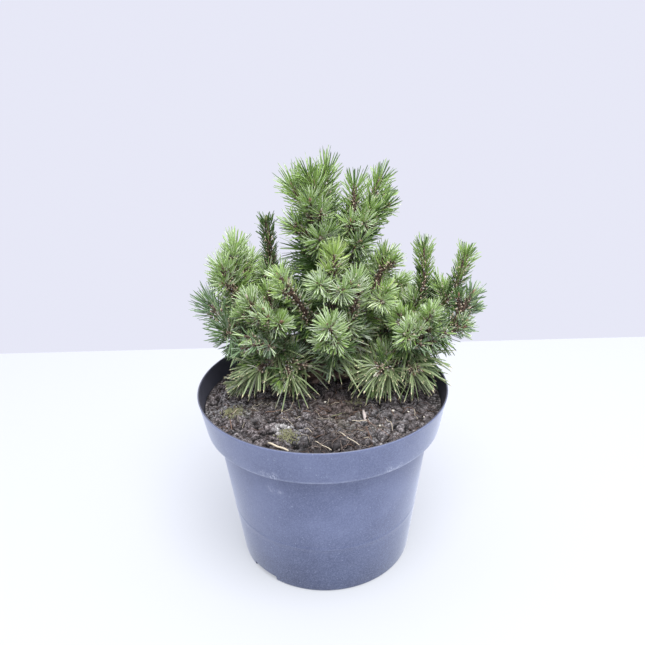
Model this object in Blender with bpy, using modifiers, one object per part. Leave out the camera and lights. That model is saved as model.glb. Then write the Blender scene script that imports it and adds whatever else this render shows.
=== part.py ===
"""A dwarf mountain pine, about 22 cm high and 27 cm wide, in a 5 litre nursery pot.

Metres, +Z up. The origin is the middle of the pot's flat underside, and the viewer stands on the -Y side.
The pot and its soil are turned solids. The trunk and the boughs are tapering tubes. Each mass of needles is
one stem that forks into shoots, with side twigs and needles that grow by a seeded rule and are fused to it.
"""

import math
import random
from typing import NamedTuple

import bmesh
import bpy
import numpy as np
from mathutils import Matrix, Vector

# Pot
POT_HEIGHT = 0.1726
RIM_RADIUS = 0.115
COLLAR_HEIGHT = 0.0342
COLLAR_FOOT_RADIUS = 0.1088
BODY_TOP_RADIUS = 0.0996
BASE_RADIUS = 0.0823
WALL = 0.0016
LIP = 0.0010
LIP_SLOPE = 0.0002
FOLD = 0.0012
FOOT_ROUND = 0.0018
TURN_STEPS = 40
DRAIN_BEARINGS = (-136, 44)
DRAIN_WIDTH = 0.030
DRAIN_HEIGHT = 0.005
DRAIN_DEPTH = 0.010

# Soil
SOIL_HEIGHT = 0.160
SOIL_EDGE_DROP = 0.004
SOIL_FLAT_RADIUS = 0.062
SOIL_SHOULDER_RADIUS = 0.084
SOIL_SHOULDER_DROP = 0.0012

# What touches keeps this gap
GAP = 0.0003

# Trunk
FOOT = Vector((-0.002, 0.033, SOIL_HEIGHT + GAP))
TRUNK_TIP = Vector((0.004, 0.030, 0.286))
TRUNK_BOW = Vector((0.008, 0.001, 0.0))
TRUNK_FOOT_RADIUS = 0.0078
TRUNK_TIP_RADIUS = 0.0036
FLARE_RADIUS = 0.0125
FLARE_FADE = 0.0047
TRUNK_POINTS = 14
TRUNK_LEVEL = 3
BOUGH_LEVEL = 1

# Boughs. The knee is where a bough turns from running out to rising.
BOUGH_POINTS = 5
BOUGH_TIP_RADIUS = 0.0028
BOUGH_TAPER = 0.022
BOUGH_TO_PARENT = 0.8
KNEE_ALONG = 0.62
KNEE_RISE = 0.22
PATH_POINTS = 500
RING_STEP = 30

# Shoots
STEM_LENGTH = 0.007
STEM_RADIUS = 0.0027
FORK_SHARE = 0.55
SHOOT_KNEE = 0.45
SHOOT_BEND = 0.12
SHOOT_RADIUS = 0.0029
SHOOT_TIP_RADIUS = 0.0024
BUD_TIP_RADIUS = 0.0006
BUD_LENGTH = 0.006
SHORT_SHOOT = 0.040

# Side twigs: each range is what a random number is drawn from.
TWIG_RADIUS = 0.0019
TWIG_SHARE = 0.40
TWIG_MIN_SHOOT = 0.051
TWIG_REACH = (0.38, 0.56)
TWIG_SPREAD = (0.75, 1.05)
TWIG_NEEDLE = 0.8

# Needles
NEEDLE_RADIUS = 0.0015
NEEDLE_TIP_RADIUS = 0.0002
NEEDLE_SINK = 0.0014
NEEDLE_LENGTHS = (0.88, 1.04)
NEEDLE_CUTS = (1, 0.74, 0.52)
LEAN_AT_FOOT = 68
LEAN_AT_TIP = 40
LEAN_SPREAD = 5
FLAT_LIMIT = 0.6
STAGGER_TURN = 0.382
STAGGER_REACH = 1.1
CROWN_SHARE = 0.93
CROWN_PLACE = 0.86
CROWN_LEAN = 24

# The space of a mass
CLEAR = 0.0004
PROBE_STEP = 0.003
RIM_ROOM = 0.006
RIM_ABOVE = 0.002


class Bough(NamedTuple):
    """A limb: where it leaves its parent, as a share of the parent's length, and where it ends."""

    name: str
    parent: str
    leaves: float
    end: tuple


class Mass(NamedTuple):
    """A mass of needles on a limb's end. Each shoot has a bearing, a lean from upright and a length."""

    name: str
    limb: str
    needle: float
    shoots: tuple


BOUGHS = (
    Bough("bough_top_right", "trunk", 0.60, (0.027, 0.027, 0.283)),
    Bough("bough_centre", "trunk", 0.47, (0.013, 0.006, 0.258)),
    Bough("bough_left", "trunk", 0.24, (-0.074, 0.028, 0.244)),
    Bough("bough_left_spike", "bough_left", 0.55, (-0.045, 0.048, 0.260)),
    Bough("bough_left_outer", "bough_left", 0.45, (-0.072, 0.010, 0.216)),
    Bough("bough_front_left", "trunk", 0.36, (-0.010, 0.009, 0.232)),
    Bough("bough_left_low", "trunk", 0.16, (-0.044, 0.006, 0.212)),
    Bough("bough_front", "trunk", 0.18, (0.012, -0.012, 0.212)),
    Bough("bough_front_right", "trunk", 0.30, (0.026, 0.004, 0.228)),
    Bough("bough_right_centre", "trunk", 0.40, (0.044, 0.024, 0.240)),
    Bough("bough_right", "trunk", 0.20, (0.090, 0.034, 0.232)),
    Bough("bough_right_tip", "bough_right", 0.60, (0.117, 0.030, 0.236)),
    Bough("bough_right_outer", "bough_right", 0.50, (0.108, 0.008, 0.216)),
    Bough("bough_right_front", "bough_right", 0.36, (0.082, -0.004, 0.214)),
    Bough("bough_skirt_left", "trunk", 0.05, (-0.034, 0.002, 0.192)),
    Bough("bough_skirt_right", "trunk", 0.06, (0.060, -0.001, 0.192)),
    Bough("bough_back", "trunk", 0.44, (0.004, 0.070, 0.262)),
    Bough("bough_back_left", "trunk", 0.33, (-0.046, 0.084, 0.222)),
    Bough("bough_back_right", "trunk", 0.27, (0.054, 0.082, 0.218)),
    Bough("bough_back_low", "trunk", 0.12, (0.004, 0.098, 0.206)),
    Bough("bough_back_low_left", "trunk", 0.10, (-0.060, 0.062, 0.200)),
    Bough("bough_back_low_right", "trunk", 0.09, (0.064, 0.062, 0.198)),
)

MASSES = (
    Mass("needles_top_left", "trunk", 0.024, (
        (170, 22, 0.068), (200, 6, 0.066), (75, 12, 0.074),
        (-155, 42, 0.043), (-95, 48, 0.036), (180, 78, 0.018),
    )),
    Mass("needles_top_right", "bough_top_right", 0.023, (
        (-30, 5, 0.067), (30, 26, 0.075), (-20, 30, 0.048), (-70, 48, 0.034),
    )),
    Mass("needles_centre", "bough_centre", 0.020, (
        (-95, 8, 0.040), (-125, 55, 0.026),
    )),
    Mass("needles_left_spike", "bough_left_spike", 0.015, (
        (130, 4, 0.054),
    )),
    Mass("needles_left_upper", "bough_left", 0.024, (
        (100, 14, 0.052), (-150, 22, 0.040), (70, 42, 0.042),
    )),
    Mass("needles_left_outer", "bough_left_outer", 0.025, (
        (170, 40, 0.042), (-125, 58, 0.026),
    )),
    Mass("needles_front_left", "bough_front_left", 0.023, (
        (-142, 32, 0.058),
    )),
    Mass("needles_left_front", "bough_left_low", 0.024, (
        (-138, 26, 0.056), (-75, 48, 0.056), (110, 4, 0.050),
    )),
    Mass("needles_front", "bough_front", 0.025, (
        (-101, 40, 0.048),
    )),
    Mass("needles_front_right", "bough_front_right", 0.024, (
        (-68, 16, 0.052),
    )),
    Mass("needles_right_centre", "bough_right_centre", 0.024, (
        (10, 18, 0.050), (-75, 66, 0.042),
    )),
    Mass("needles_right_spike", "bough_right", 0.018, (
        (45, 8, 0.057),
    )),
    Mass("needles_right_tip", "bough_right_tip", 0.018, (
        (15, 20, 0.050), (125, 40, 0.022),
    )),
    Mass("needles_right_outer", "bough_right_outer", 0.020, (
        (-20, 33, 0.050), (-40, 62, 0.026),
    )),
    Mass("needles_right_front", "bough_right_front", 0.024, (
        (-50, 30, 0.040), (-110, 56, 0.038), (160, 28, 0.030),
    )),
    Mass("needles_skirt_left", "bough_skirt_left", 0.036, (
        (-155, 82, 0.030), (-70, 96, 0.020), (-25, 84, 0.024),
    )),
    Mass("needles_skirt_right", "bough_skirt_right", 0.036, (
        (-118, 88, 0.026), (-35, 86, 0.034), (-10, 70, 0.034),
    )),
    Mass("needles_back", "bough_back", 0.024, (
        (100, 10, 0.060), (150, 24, 0.040), (40, 30, 0.044),
    )),
    Mass("needles_back_left", "bough_back_left", 0.024, (
        (120, 14, 0.036), (175, 50, 0.038), (70, 50, 0.034),
    )),
    Mass("needles_back_right", "bough_back_right", 0.024, (
        (75, 14, 0.040), (15, 62, 0.036), (105, 48, 0.036),
    )),
    Mass("needles_back_low", "bough_back_low", 0.025, (
        (90, 45, 0.034), (150, 66, 0.034), (30, 66, 0.034),
    )),
    Mass("needles_back_low_left", "bough_back_low_left", 0.028, (
        (165, 50, 0.040), (125, 70, 0.030), (-155, 75, 0.026),
    )),
    Mass("needles_back_low_right", "bough_back_low_right", 0.028, (
        (15, 50, 0.038), (55, 70, 0.030), (-25, 75, 0.026),
    )),
)


def clear_scene():
    for ob in list(bpy.data.objects):
        bpy.data.objects.remove(ob, do_unlink=True)


def new_collection(name):
    collection = bpy.data.collections.new(name)
    bpy.context.scene.collection.children.link(collection)
    return collection


def material(name, colour, roughness):
    mat = bpy.data.materials.new(name)
    mat.use_nodes = True
    shader = mat.node_tree.nodes["Principled BSDF"]
    shader.inputs["Base Color"].default_value = (*colour, 1)
    shader.inputs["Roughness"].default_value = roughness
    shader.inputs["Metallic"].default_value = 0
    return mat


def add_mesh(name, mesh, collection, mat=None):
    ob = bpy.data.objects.new(name, mesh)
    collection.objects.link(ob)
    if mat:
        mesh.materials.clear()
        mesh.materials.append(mat)
    return ob


def smooth(mesh):
    mesh.shade_smooth()
    mesh.set_sharp_from_angle(angle=math.radians(35))


def turned(name, profile, steps, collection, mat):
    """A solid turned about Z from a profile of (radius, height), down its outer side."""
    outline = bpy.data.meshes.new(name + "_profile")
    verts = [(r, 0, z) for r, z in profile]
    edges = [(i, i + 1) for i in range(len(profile) - 1)]
    outline.from_pydata(verts, edges, [])
    guide = add_mesh(name + "_profile", outline, collection)
    screw = guide.modifiers.new("turn", "SCREW")
    screw.axis = "Z"
    screw.angle = 2 * math.pi
    screw.steps = steps
    screw.render_steps = steps
    screw.use_merge_vertices = True
    screw.merge_threshold = 0.00005
    mesh = evaluated_mesh(guide)
    bpy.data.objects.remove(guide)
    smooth(mesh)
    return add_mesh(name, mesh, collection, mat)


def evaluated_mesh(ob):
    bpy.context.view_layer.update()
    depsgraph = bpy.context.evaluated_depsgraph_get()
    return bpy.data.meshes.new_from_object(ob.evaluated_get(depsgraph))


def tube(name, points, radii, sides_level, collection):
    """A closed mesh tube through the points, from a curve object with a bevel and filled caps. Level 0 has
    four sides, and each level adds two."""
    curve = bpy.data.curves.new(name, "CURVE")
    curve.dimensions = "3D"
    curve.bevel_depth = 1
    curve.bevel_resolution = sides_level
    curve.use_fill_caps = True
    curve.resolution_u = 1
    spline = curve.splines.new("POLY")
    spline.points.add(len(points) - 1)
    for spot, place, radius in zip(spline.points, points, radii):
        spot.co = (*place, 1)
        spot.radius = radius
    guide = bpy.data.objects.new(name + "_curve", curve)
    collection.objects.link(guide)
    mesh = evaluated_mesh(guide)
    bpy.data.objects.remove(guide)
    bpy.data.curves.remove(curve)
    bm = bmesh.new()
    bm.from_mesh(mesh)
    bmesh.ops.remove_doubles(bm, verts=bm.verts, dist=0.00001)
    bmesh.ops.recalc_face_normals(bm, faces=bm.faces)
    bm.to_mesh(mesh)
    bm.free()
    return add_mesh(name, mesh, collection)


def bent(start, knee, end, count):
    """Points along a quadratic curve."""
    shares = (i / (count - 1) for i in range(count))
    return [start * (1 - t) ** 2 + knee * 2 * t * (1 - t) + end * t**2 for t in shares]


def heading(bearing, lean):
    """A unit vector: bearing from +X towards +Y, lean from upright."""
    b, a = math.radians(bearing), math.radians(lean)
    return Vector((math.sin(a) * math.cos(b), math.sin(a) * math.sin(b), math.cos(a)))


def across(direction, turn):
    """A unit vector square to direction, turned about it by a number of degrees from its upper side."""
    side = direction.cross(Vector((0, 0, 1)))
    if side.length < 0.05:
        side = direction.cross(Vector((0, 1, 0)))
    side.normalize()
    upper = side.cross(direction)
    a = math.radians(turn)
    return upper * math.cos(a) + side * math.sin(a)


class Limb:
    """A tapering limb as points and radii."""

    def __init__(self, points, radii):
        self.points = points
        self.radii = radii

    def at(self, share):
        """(place, radius, direction) at a share of the length."""
        step = min(share, 0.9999) * (len(self.points) - 1)
        i = int(step)
        part = step - i
        place = self.points[i].lerp(self.points[i + 1], part)
        radius = self.radii[i] + (self.radii[i + 1] - self.radii[i]) * part
        return place, radius, (self.points[i + 1] - self.points[i]).normalized()


def segments_of(limb):
    """Start points, end points and radii of a limb's pieces, as arrays."""
    points = np.array([tuple(p) for p in limb.points])
    radii = np.array(limb.radii)
    return points[:-1], points[1:], radii[:-1], radii[1:]


def joined(limbs):
    parts = [segments_of(limb) for limb in limbs]
    return tuple(np.concatenate([p[i] for p in parts]) for i in range(4))


def distance(places, segments, with_radius):
    """For each place, the distance to the nearest piece's axis, or to its surface."""
    a, b, ra, rb = segments
    ab = b - a
    ap = places[:, None, :] - a[None]
    share = np.clip((ap * ab[None]).sum(2) / (ab * ab).sum(1)[None], 0, 1)
    off = np.linalg.norm(ap - share[..., None] * ab[None], axis=2)
    if with_radius:
        off = off - (ra + (rb - ra) * share)
    return off.min(axis=1)


def tapered(first, last, count):
    """Radii from the first to the last in even steps."""
    return [first + (last - first) * i / (count - 1) for i in range(count)]


def grow_trunk():
    """The trunk leans a little to the right, bows, and flares into the soil at its foot."""
    middle = (FOOT + TRUNK_TIP) / 2 + TRUNK_BOW
    points = bent(FOOT, middle, TRUNK_TIP, TRUNK_POINTS)
    flare_points = [FOOT, FOOT + Vector((0, 0, FLARE_FADE)), FOOT + Vector((0, 0, 2.2 * FLARE_FADE))]
    points = flare_points + points[2:]
    radii = []
    for place in points:
        rise = place.z - FOOT.z
        share = rise / (TRUNK_TIP.z - FOOT.z)
        flare = (FLARE_RADIUS - TRUNK_FOOT_RADIUS) * math.exp(-rise / FLARE_FADE)
        radii.append(TRUNK_FOOT_RADIUS + (TRUNK_TIP_RADIUS - TRUNK_FOOT_RADIUS) * share + flare)
    return Limb(points, radii)


def ring_gap(path, i, radius, carrier):
    """How far a round end at a point of the path stays from what carries it."""
    direction = (path[i + 1] - path[i]).normalized()
    ring = [path[i] + across(direction, turn) * radius for turn in range(0, 360, RING_STEP)]
    return distance(np.array([tuple(p) for p in ring]), carrier, True).min()


def grow_bough(bough, parent):
    """A bough leaves its parent, runs out, and turns up to its end. Its foot stays clear of the parent."""
    root, parent_radius, _ = parent.at(bough.leaves)
    end = Vector(bough.end)
    knee = root.lerp(end, KNEE_ALONG)
    knee.z = root.z + (end.z - root.z) * KNEE_RISE
    path = bent(root, knee, end, PATH_POINTS)
    length = sum((q - p).length for p, q in zip(path, path[1:]))
    foot_radius = min(BOUGH_TIP_RADIUS + BOUGH_TAPER * length, BOUGH_TO_PARENT * parent_radius)
    tip_radius = min(BOUGH_TIP_RADIUS, foot_radius)
    carrier = segments_of(parent)
    first = next(i for i in range(PATH_POINTS - 1) if ring_gap(path, i, foot_radius, carrier) >= GAP)
    step = (PATH_POINTS - 1 - first) / (BOUGH_POINTS - 1)
    points = [path[first + round(i * step)] for i in range(BOUGH_POINTS)]
    return Limb(points, tapered(foot_radius, tip_radius, BOUGH_POINTS))


def grow_shoots(mass, limb):
    """The stem of a mass, which goes on from its limb's end, and the shoots that fork from it."""
    direction = (limb.points[-1] - limb.points[-2]).normalized()
    foot = limb.points[-1] + direction * GAP
    stem = Limb([foot, foot + direction * STEM_LENGTH], [STEM_RADIUS, STEM_RADIUS])
    start = foot + direction * STEM_LENGTH * FORK_SHARE
    shoots = []
    for bearing, lean, length in mass.shoots:
        way = heading(bearing, lean)
        tip = foot + way * length
        knee = start.lerp(tip, SHOOT_KNEE) + (direction - way) * length * SHOOT_BEND
        count = 3 if length < SHORT_SHOOT else 4
        points = bent(start, knee, tip, count)
        shoots.append(Limb(points, tapered(SHOOT_RADIUS, SHOOT_TIP_RADIUS, count)))
    return stem, shoots


class Space:
    """The space of a mass: nearer to its own shoots than to others', off the limbs and above the soil."""

    def __init__(self, own, others, limbs):
        self.own = own
        self.others = others
        self.limbs = limbs

    def holds(self, start, end, foot_radius, tip_radius):
        """True if a spike from start to end stays inside. Its first part may be sunk in its own shoot."""
        count = max(5, round((end - start).length / PROBE_STEP))
        shares = np.linspace(0, 1, count)
        a, b = np.array(tuple(start)), np.array(tuple(end))
        places = a + (b - a) * shares[:, None]
        radii = foot_radius + (tip_radius - foot_radius) * shares
        room = distance(places, self.others, False) - distance(places, self.own, False)
        if (room < 2 * radii + CLEAR).any():
            return False
        if (distance(places, self.limbs, True) < radii + CLEAR).any():
            return False
        if (places[:, 2] - radii < SOIL_HEIGHT + CLEAR).any():
            return False
        reach = np.hypot(places[:, 0], places[:, 1]) + radii
        low = places[:, 2] < POT_HEIGHT + RIM_ABOVE
        return not (low & (reach > RIM_RADIUS - RIM_ROOM)).any()


def grow_twig(shoot, space, rng):
    """The side twig of a long shoot, in a list, or no twig where it would leave the space."""
    length = (shoot.points[-1] - shoot.points[0]).length
    turn, reach, spread = rng.uniform(0, 360), rng.uniform(*TWIG_REACH), rng.uniform(*TWIG_SPREAD)
    root, _, direction = shoot.at(TWIG_SHARE)
    tip = root + (direction + across(direction, turn) * spread).normalized() * length * reach
    fits = length > TWIG_MIN_SHOOT and space.holds(root, tip, TWIG_RADIUS, TWIG_RADIUS)
    return [Limb([root, tip], [TWIG_RADIUS, TWIG_RADIUS])] if fits else []


def grow_needles(shoot, core, length, space, rng):
    """Feet and tips of the needles on a shoot. They stand on the flats of its core, in staggered rows, and a
    crown of them leans forward round its bud. One that would leave the space is shorter, or is skipped."""
    spikes = []
    flats = 0
    run = (shoot.points[-1] - shoot.points[0]).length
    for face in core.data.polygons:
        share, direction = nearest_share(shoot, face.center)
        if abs(face.normal.dot(direction)) > FLAT_LIMIT or share == 1:
            continue
        flats += 1
        corners = [core.data.vertices[i].co for i in face.vertices]
        half = max(abs((c - face.center).dot(direction)) for c in corners)
        stagger = ((flats * STAGGER_TURN) % 1 - 0.5) * STAGGER_REACH
        lean = LEAN_AT_FOOT + (LEAN_AT_TIP - LEAN_AT_FOOT) * share
        places = [(stagger * half, lean)]
        if share + half / run > CROWN_SHARE and flats % 2:
            places.append((half * CROWN_PLACE, CROWN_LEAN))
        for along, angle in places:
            a = math.radians(angle + rng.uniform(-LEAN_SPREAD, LEAN_SPREAD))
            out = direction * math.cos(a) + face.normal * math.sin(a)
            foot = face.center + direction * along - out * NEEDLE_SINK
            size = rng.uniform(*NEEDLE_LENGTHS)
            tips = [foot + out * (length * size * cut + NEEDLE_SINK) for cut in NEEDLE_CUTS]
            fitting = [tip for tip in tips if space.holds(foot, tip, NEEDLE_RADIUS, NEEDLE_TIP_RADIUS)]
            spikes += [(foot, tip) for tip in fitting[:1]]
    return spikes


def nearest_share(limb, place):
    """The share of the limb's length nearest to a place, and the direction there."""
    best = None
    count = len(limb.points) - 1
    for i, (a, b) in enumerate(zip(limb.points, limb.points[1:])):
        along = (place - a).dot(b - a) / (b - a).length_squared
        near = a.lerp(b, min(max(along, 0), 1))
        off = (place - near).length
        if best is None or off < best[0]:
            best = (off, (i + min(max(along, 0), 1)) / count, (b - a).normalized())
    return best[1], best[2]


def add_spike(foot, tip, collection):
    """A three-sided needle."""
    mesh = bpy.data.meshes.new("needle")
    bm = bmesh.new()
    axis = tip - foot
    turn = axis.to_track_quat("Z", "X").to_matrix().to_4x4()
    bmesh.ops.create_cone(
        bm,
        cap_ends=True,
        cap_tris=False,
        segments=3,
        radius1=NEEDLE_RADIUS,
        radius2=0,
        depth=axis.length,
        matrix=Matrix.Translation((foot + tip) / 2) @ turn,
    )
    bm.to_mesh(mesh)
    bm.free()
    return add_mesh("needle", mesh, collection)


def add_core(shoot, collection):
    """The slim four-sided core of a shoot, with its bud."""
    direction = (shoot.points[-1] - shoot.points[-2]).normalized()
    points = [*shoot.points, shoot.points[-1] + direction * BUD_LENGTH]
    return tube("shoot", points, [*shoot.radii, BUD_TIP_RADIUS], 0, collection)


def islands(bm):
    """The bodies of a mesh, as lists of faces."""
    left = set(bm.faces)
    found = []
    while left:
        todo = [left.pop()]
        body = list(todo)
        while todo:
            face = todo.pop()
            for edge in face.edges:
                for near in edge.link_faces:
                    if near in left:
                        left.remove(near)
                        todo.append(near)
                        body.append(near)
        found.append(body)
    return found


def keep_main_body(mesh):
    """Drop loose scraps and fill sealed hollows: only the largest body stays."""
    bm = bmesh.new()
    bm.from_mesh(mesh)
    bmesh.ops.triangulate(bm, faces=bm.faces)
    bodies = sorted(islands(bm), key=len)
    for body in bodies[:-1]:
        bmesh.ops.delete(bm, geom=body, context="FACES")
    bm.to_mesh(mesh)
    bm.free()


def fuse(name, stem, collection, parts, mat):
    """One Boolean union joins a mass's stem with its shoots, twigs and needles, and they are removed."""
    union = stem.modifiers.new("fuse", "BOOLEAN")
    union.operation = "UNION"
    union.operand_type = "COLLECTION"
    union.collection = collection
    union.solver = "MANIFOLD"
    mesh = evaluated_mesh(stem)
    keep_main_body(mesh)
    for ob in [*collection.objects, stem]:
        bpy.data.objects.remove(ob, do_unlink=True)
    bpy.data.collections.remove(collection)
    mesh.name = name
    return add_mesh(name, mesh, parts, mat)


def inside_wall():
    """The pot's inside from its floor up to its lip, as (radius, height)."""
    collar_foot = POT_HEIGHT - COLLAR_HEIGHT
    return [
        (BASE_RADIUS - FOOT_ROUND - WALL, WALL),
        (BODY_TOP_RADIUS - WALL, collar_foot - FOLD),
        (COLLAR_FOOT_RADIUS - FOLD - WALL, collar_foot + FOLD),
        (RIM_RADIUS - WALL, POT_HEIGHT - LIP),
    ]


def build_pot(parts, cutters, mat):
    """The pot widens to a stepped collar, and has two notches at its foot for drainage."""
    collar_foot = POT_HEIGHT - COLLAR_HEIGHT
    lip = (RIM_RADIUS - WALL + LIP_SLOPE, POT_HEIGHT)
    outside = [
        (RIM_RADIUS - LIP_SLOPE, POT_HEIGHT),
        (RIM_RADIUS, POT_HEIGHT - LIP),
        (COLLAR_FOOT_RADIUS, collar_foot + FOLD),
        (COLLAR_FOOT_RADIUS - FOLD, collar_foot),
        (BODY_TOP_RADIUS + FOLD, collar_foot - FOLD / 2),
        (BODY_TOP_RADIUS, collar_foot - 2 * FOLD),
        (BASE_RADIUS, FOOT_ROUND),
        (BASE_RADIUS - FOOT_ROUND, 0),
        (0, 0),
    ]
    profile = [lip, *outside, (0, WALL), *inside_wall(), lip]
    pot = turned("pot", profile, TURN_STEPS, parts, mat)
    for number, bearing in enumerate(DRAIN_BEARINGS):
        bpy.ops.mesh.primitive_cube_add(size=1)
        cutter = bpy.context.object
        cutter.name = f"drain_cutter_{number}"
        cutter.scale = (2 * DRAIN_DEPTH, DRAIN_WIDTH, 2 * DRAIN_HEIGHT)
        cutter.location = heading(bearing, 90) * (BASE_RADIUS + DRAIN_DEPTH / 2)
        cutter.rotation_euler = (0, 0, math.radians(bearing))
        move_to(cutter, cutters)
        cut = pot.modifiers.new("drain", "BOOLEAN")
        cut.operation = "DIFFERENCE"
        cut.object = cutter
    return pot


def move_to(ob, collection):
    for old in list(ob.users_collection):
        old.objects.unlink(ob)
    collection.objects.link(ob)
    ob.hide_render = True
    ob.display_type = "WIRE"


def build_soil(parts, mat):
    """The soil fills the pot to below its rim, level about the trunk and a little lower at the wall."""
    edge = SOIL_HEIGHT - SOIL_EDGE_DROP
    floor = DRAIN_HEIGHT + GAP
    radii, heights = zip(*inside_wall())
    ledge = [(r - GAP, z + GAP) for r, z in inside_wall()[2:0:-1]]
    profile = [
        (0, SOIL_HEIGHT),
        (SOIL_FLAT_RADIUS, SOIL_HEIGHT),
        (SOIL_SHOULDER_RADIUS, SOIL_HEIGHT - SOIL_SHOULDER_DROP),
        (float(np.interp(edge, heights, radii)) - GAP, edge),
        *ledge,
        (float(np.interp(floor, heights, radii)) - GAP, floor),
        (0, floor),
    ]
    return turned("soil", profile, TURN_STEPS, parts, mat)


def build_limb(name, limb, level, parts, mat):
    ob = tube(name, limb.points, limb.radii, level, parts)
    ob.data.materials.clear()
    ob.data.materials.append(mat)
    smooth(ob.data)
    return ob


def main():
    clear_scene()
    parts = new_collection("potted_mountain_pine")
    cutters = new_collection("cutters")
    plastic = material("pot_plastic", (0.060, 0.072, 0.105), 0.45)
    peat = material("peat", (0.045, 0.033, 0.024), 0.95)
    bark = material("bark", (0.110, 0.060, 0.038), 0.85)
    green = material("needle_green", (0.110, 0.200, 0.055), 0.5)

    build_pot(parts, cutters, plastic)
    build_soil(parts, peat)

    limbs = {"trunk": grow_trunk()}
    for bough in BOUGHS:
        limbs[bough.name] = grow_bough(bough, limbs[bough.parent])
    for name, limb in limbs.items():
        build_limb(name, limb, TRUNK_LEVEL if name == "trunk" else BOUGH_LEVEL, parts, bark)

    grown = {mass.name: grow_shoots(mass, limbs[mass.limb]) for mass in MASSES}
    axes = {name: joined([stem, *shoots]) for name, (stem, shoots) in grown.items()}
    wood = joined(list(limbs.values()))
    for number, mass in enumerate(MASSES):
        stem, shoots = grown[mass.name]
        others = [axes[m.name] for m in MASSES if m.name != mass.name]
        others = tuple(np.concatenate([o[i] for o in others]) for i in range(4))
        space = Space(axes[mass.name], others, wood)
        rng = random.Random(number)
        twigs = [twig for shoot in shoots for twig in grow_twig(shoot, space, rng)]
        sizes = [1] * len(shoots) + [TWIG_NEEDLE] * len(twigs)
        spray = new_collection("spray")
        for limb, size in zip(shoots + twigs, sizes):
            core = add_core(limb, spray)
            for foot, tip in grow_needles(limb, core, mass.needle * size, space, rng):
                add_spike(foot, tip, spray)
        foot = tube("stem", stem.points, stem.radii, BOUGH_LEVEL, parts)
        fuse(mass.name, foot, spray, parts, green)


main()
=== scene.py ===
"""The looks of the potted dwarf mountain pine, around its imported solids.

Metres, +Z up, in the frame of the solids. The limbs, the shoots and the side twigs grow by the same rule and
the same seeds as the solids do. From there the rule is carried on to spurs and to pairs of needles.
"""

import math
import random
from typing import NamedTuple

import bpy
import numpy as np
from mathutils import Matrix, Vector, noise


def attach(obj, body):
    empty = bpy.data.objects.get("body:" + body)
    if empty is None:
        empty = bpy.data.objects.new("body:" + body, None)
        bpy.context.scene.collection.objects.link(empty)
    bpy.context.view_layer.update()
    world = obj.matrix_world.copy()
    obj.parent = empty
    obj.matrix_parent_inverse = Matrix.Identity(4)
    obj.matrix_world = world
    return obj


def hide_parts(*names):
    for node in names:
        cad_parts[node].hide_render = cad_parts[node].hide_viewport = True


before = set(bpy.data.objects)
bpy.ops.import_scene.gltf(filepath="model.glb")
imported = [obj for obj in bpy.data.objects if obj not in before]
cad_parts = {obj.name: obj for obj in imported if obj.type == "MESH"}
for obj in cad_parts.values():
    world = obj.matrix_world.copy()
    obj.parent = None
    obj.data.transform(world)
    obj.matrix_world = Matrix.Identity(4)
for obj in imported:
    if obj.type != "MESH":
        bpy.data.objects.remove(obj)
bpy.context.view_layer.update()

# Pot and soil, as in the solids
POT_HEIGHT = 0.1726
RIM_RADIUS = 0.115
COLLAR_HEIGHT = 0.0342
COLLAR_FOOT = POT_HEIGHT - COLLAR_HEIGHT
COLLAR_FOOT_RADIUS = 0.1088
BODY_TOP_RADIUS = 0.0996
BASE_RADIUS = 0.0823
WALL = 0.0016
FOLD = 0.0012
FOOT_ROUND = 0.0018
RING_HEIGHT = 0.054
RING_DEPTH = 0.00025
DRAIN_BEARINGS = (-136, 44)
DRAIN_WIDTH = 0.030
DRAIN_HEIGHT = 0.005
DRAIN_DEPTH = 0.010
SOIL_HEIGHT = 0.160
SOIL_EDGE_DROP = 0.004
SOIL_FLAT_RADIUS = 0.062
SOIL_SHOULDER_RADIUS = 0.084
SOIL_SHOULDER_DROP = 0.0012
GAP = 0.0003

# Pot and soil, finer than in the solids
POT_SIDES = 180
BASE_SLAB = 0.0066
LIP_ROUND = 0.0008
COLLAR_ROUND = 0.0016
CORNER_ROUND = 0.0012
RING_HALF = 0.0012
SHARP_ANGLE = 32
SOIL_STEPS = 250
SOIL_RADIUS = 0.1095

# Limbs, as in the solids
FOOT = Vector((-0.002, 0.033, SOIL_HEIGHT + GAP))
TRUNK_TIP = Vector((0.004, 0.030, 0.286))
TRUNK_BOW = Vector((0.008, 0.001, 0.0))
TRUNK_FOOT_RADIUS = 0.0078
TRUNK_TIP_RADIUS = 0.0036
FLARE_RADIUS = 0.0125
FLARE_FADE = 0.0047
TRUNK_POINTS = 14
BOUGH_POINTS = 5
BOUGH_TIP_RADIUS = 0.0028
BOUGH_TAPER = 0.022
BOUGH_TO_PARENT = 0.8
KNEE_ALONG = 0.62
KNEE_RISE = 0.22
PATH_POINTS = 500
RING_STEP = 30
STEM_LENGTH = 0.007
STEM_RADIUS = 0.0027
FORK_SHARE = 0.55
SHOOT_KNEE = 0.45
SHOOT_BEND = 0.12
SHOOT_RADIUS = 0.0029
SHOOT_TIP_RADIUS = 0.0024
SHORT_SHOOT = 0.040
TWIG_RADIUS = 0.0019
TWIG_SHARE = 0.40
TWIG_MIN_SHOOT = 0.051
TWIG_REACH = (0.38, 0.56)
TWIG_SPREAD = (0.75, 1.05)
CLEAR = 0.0004
PROBE_STEP = 0.003
RIM_ROOM = 0.006
RIM_ABOVE = 0.002
GOLDEN_TURN = 137.5

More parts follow.
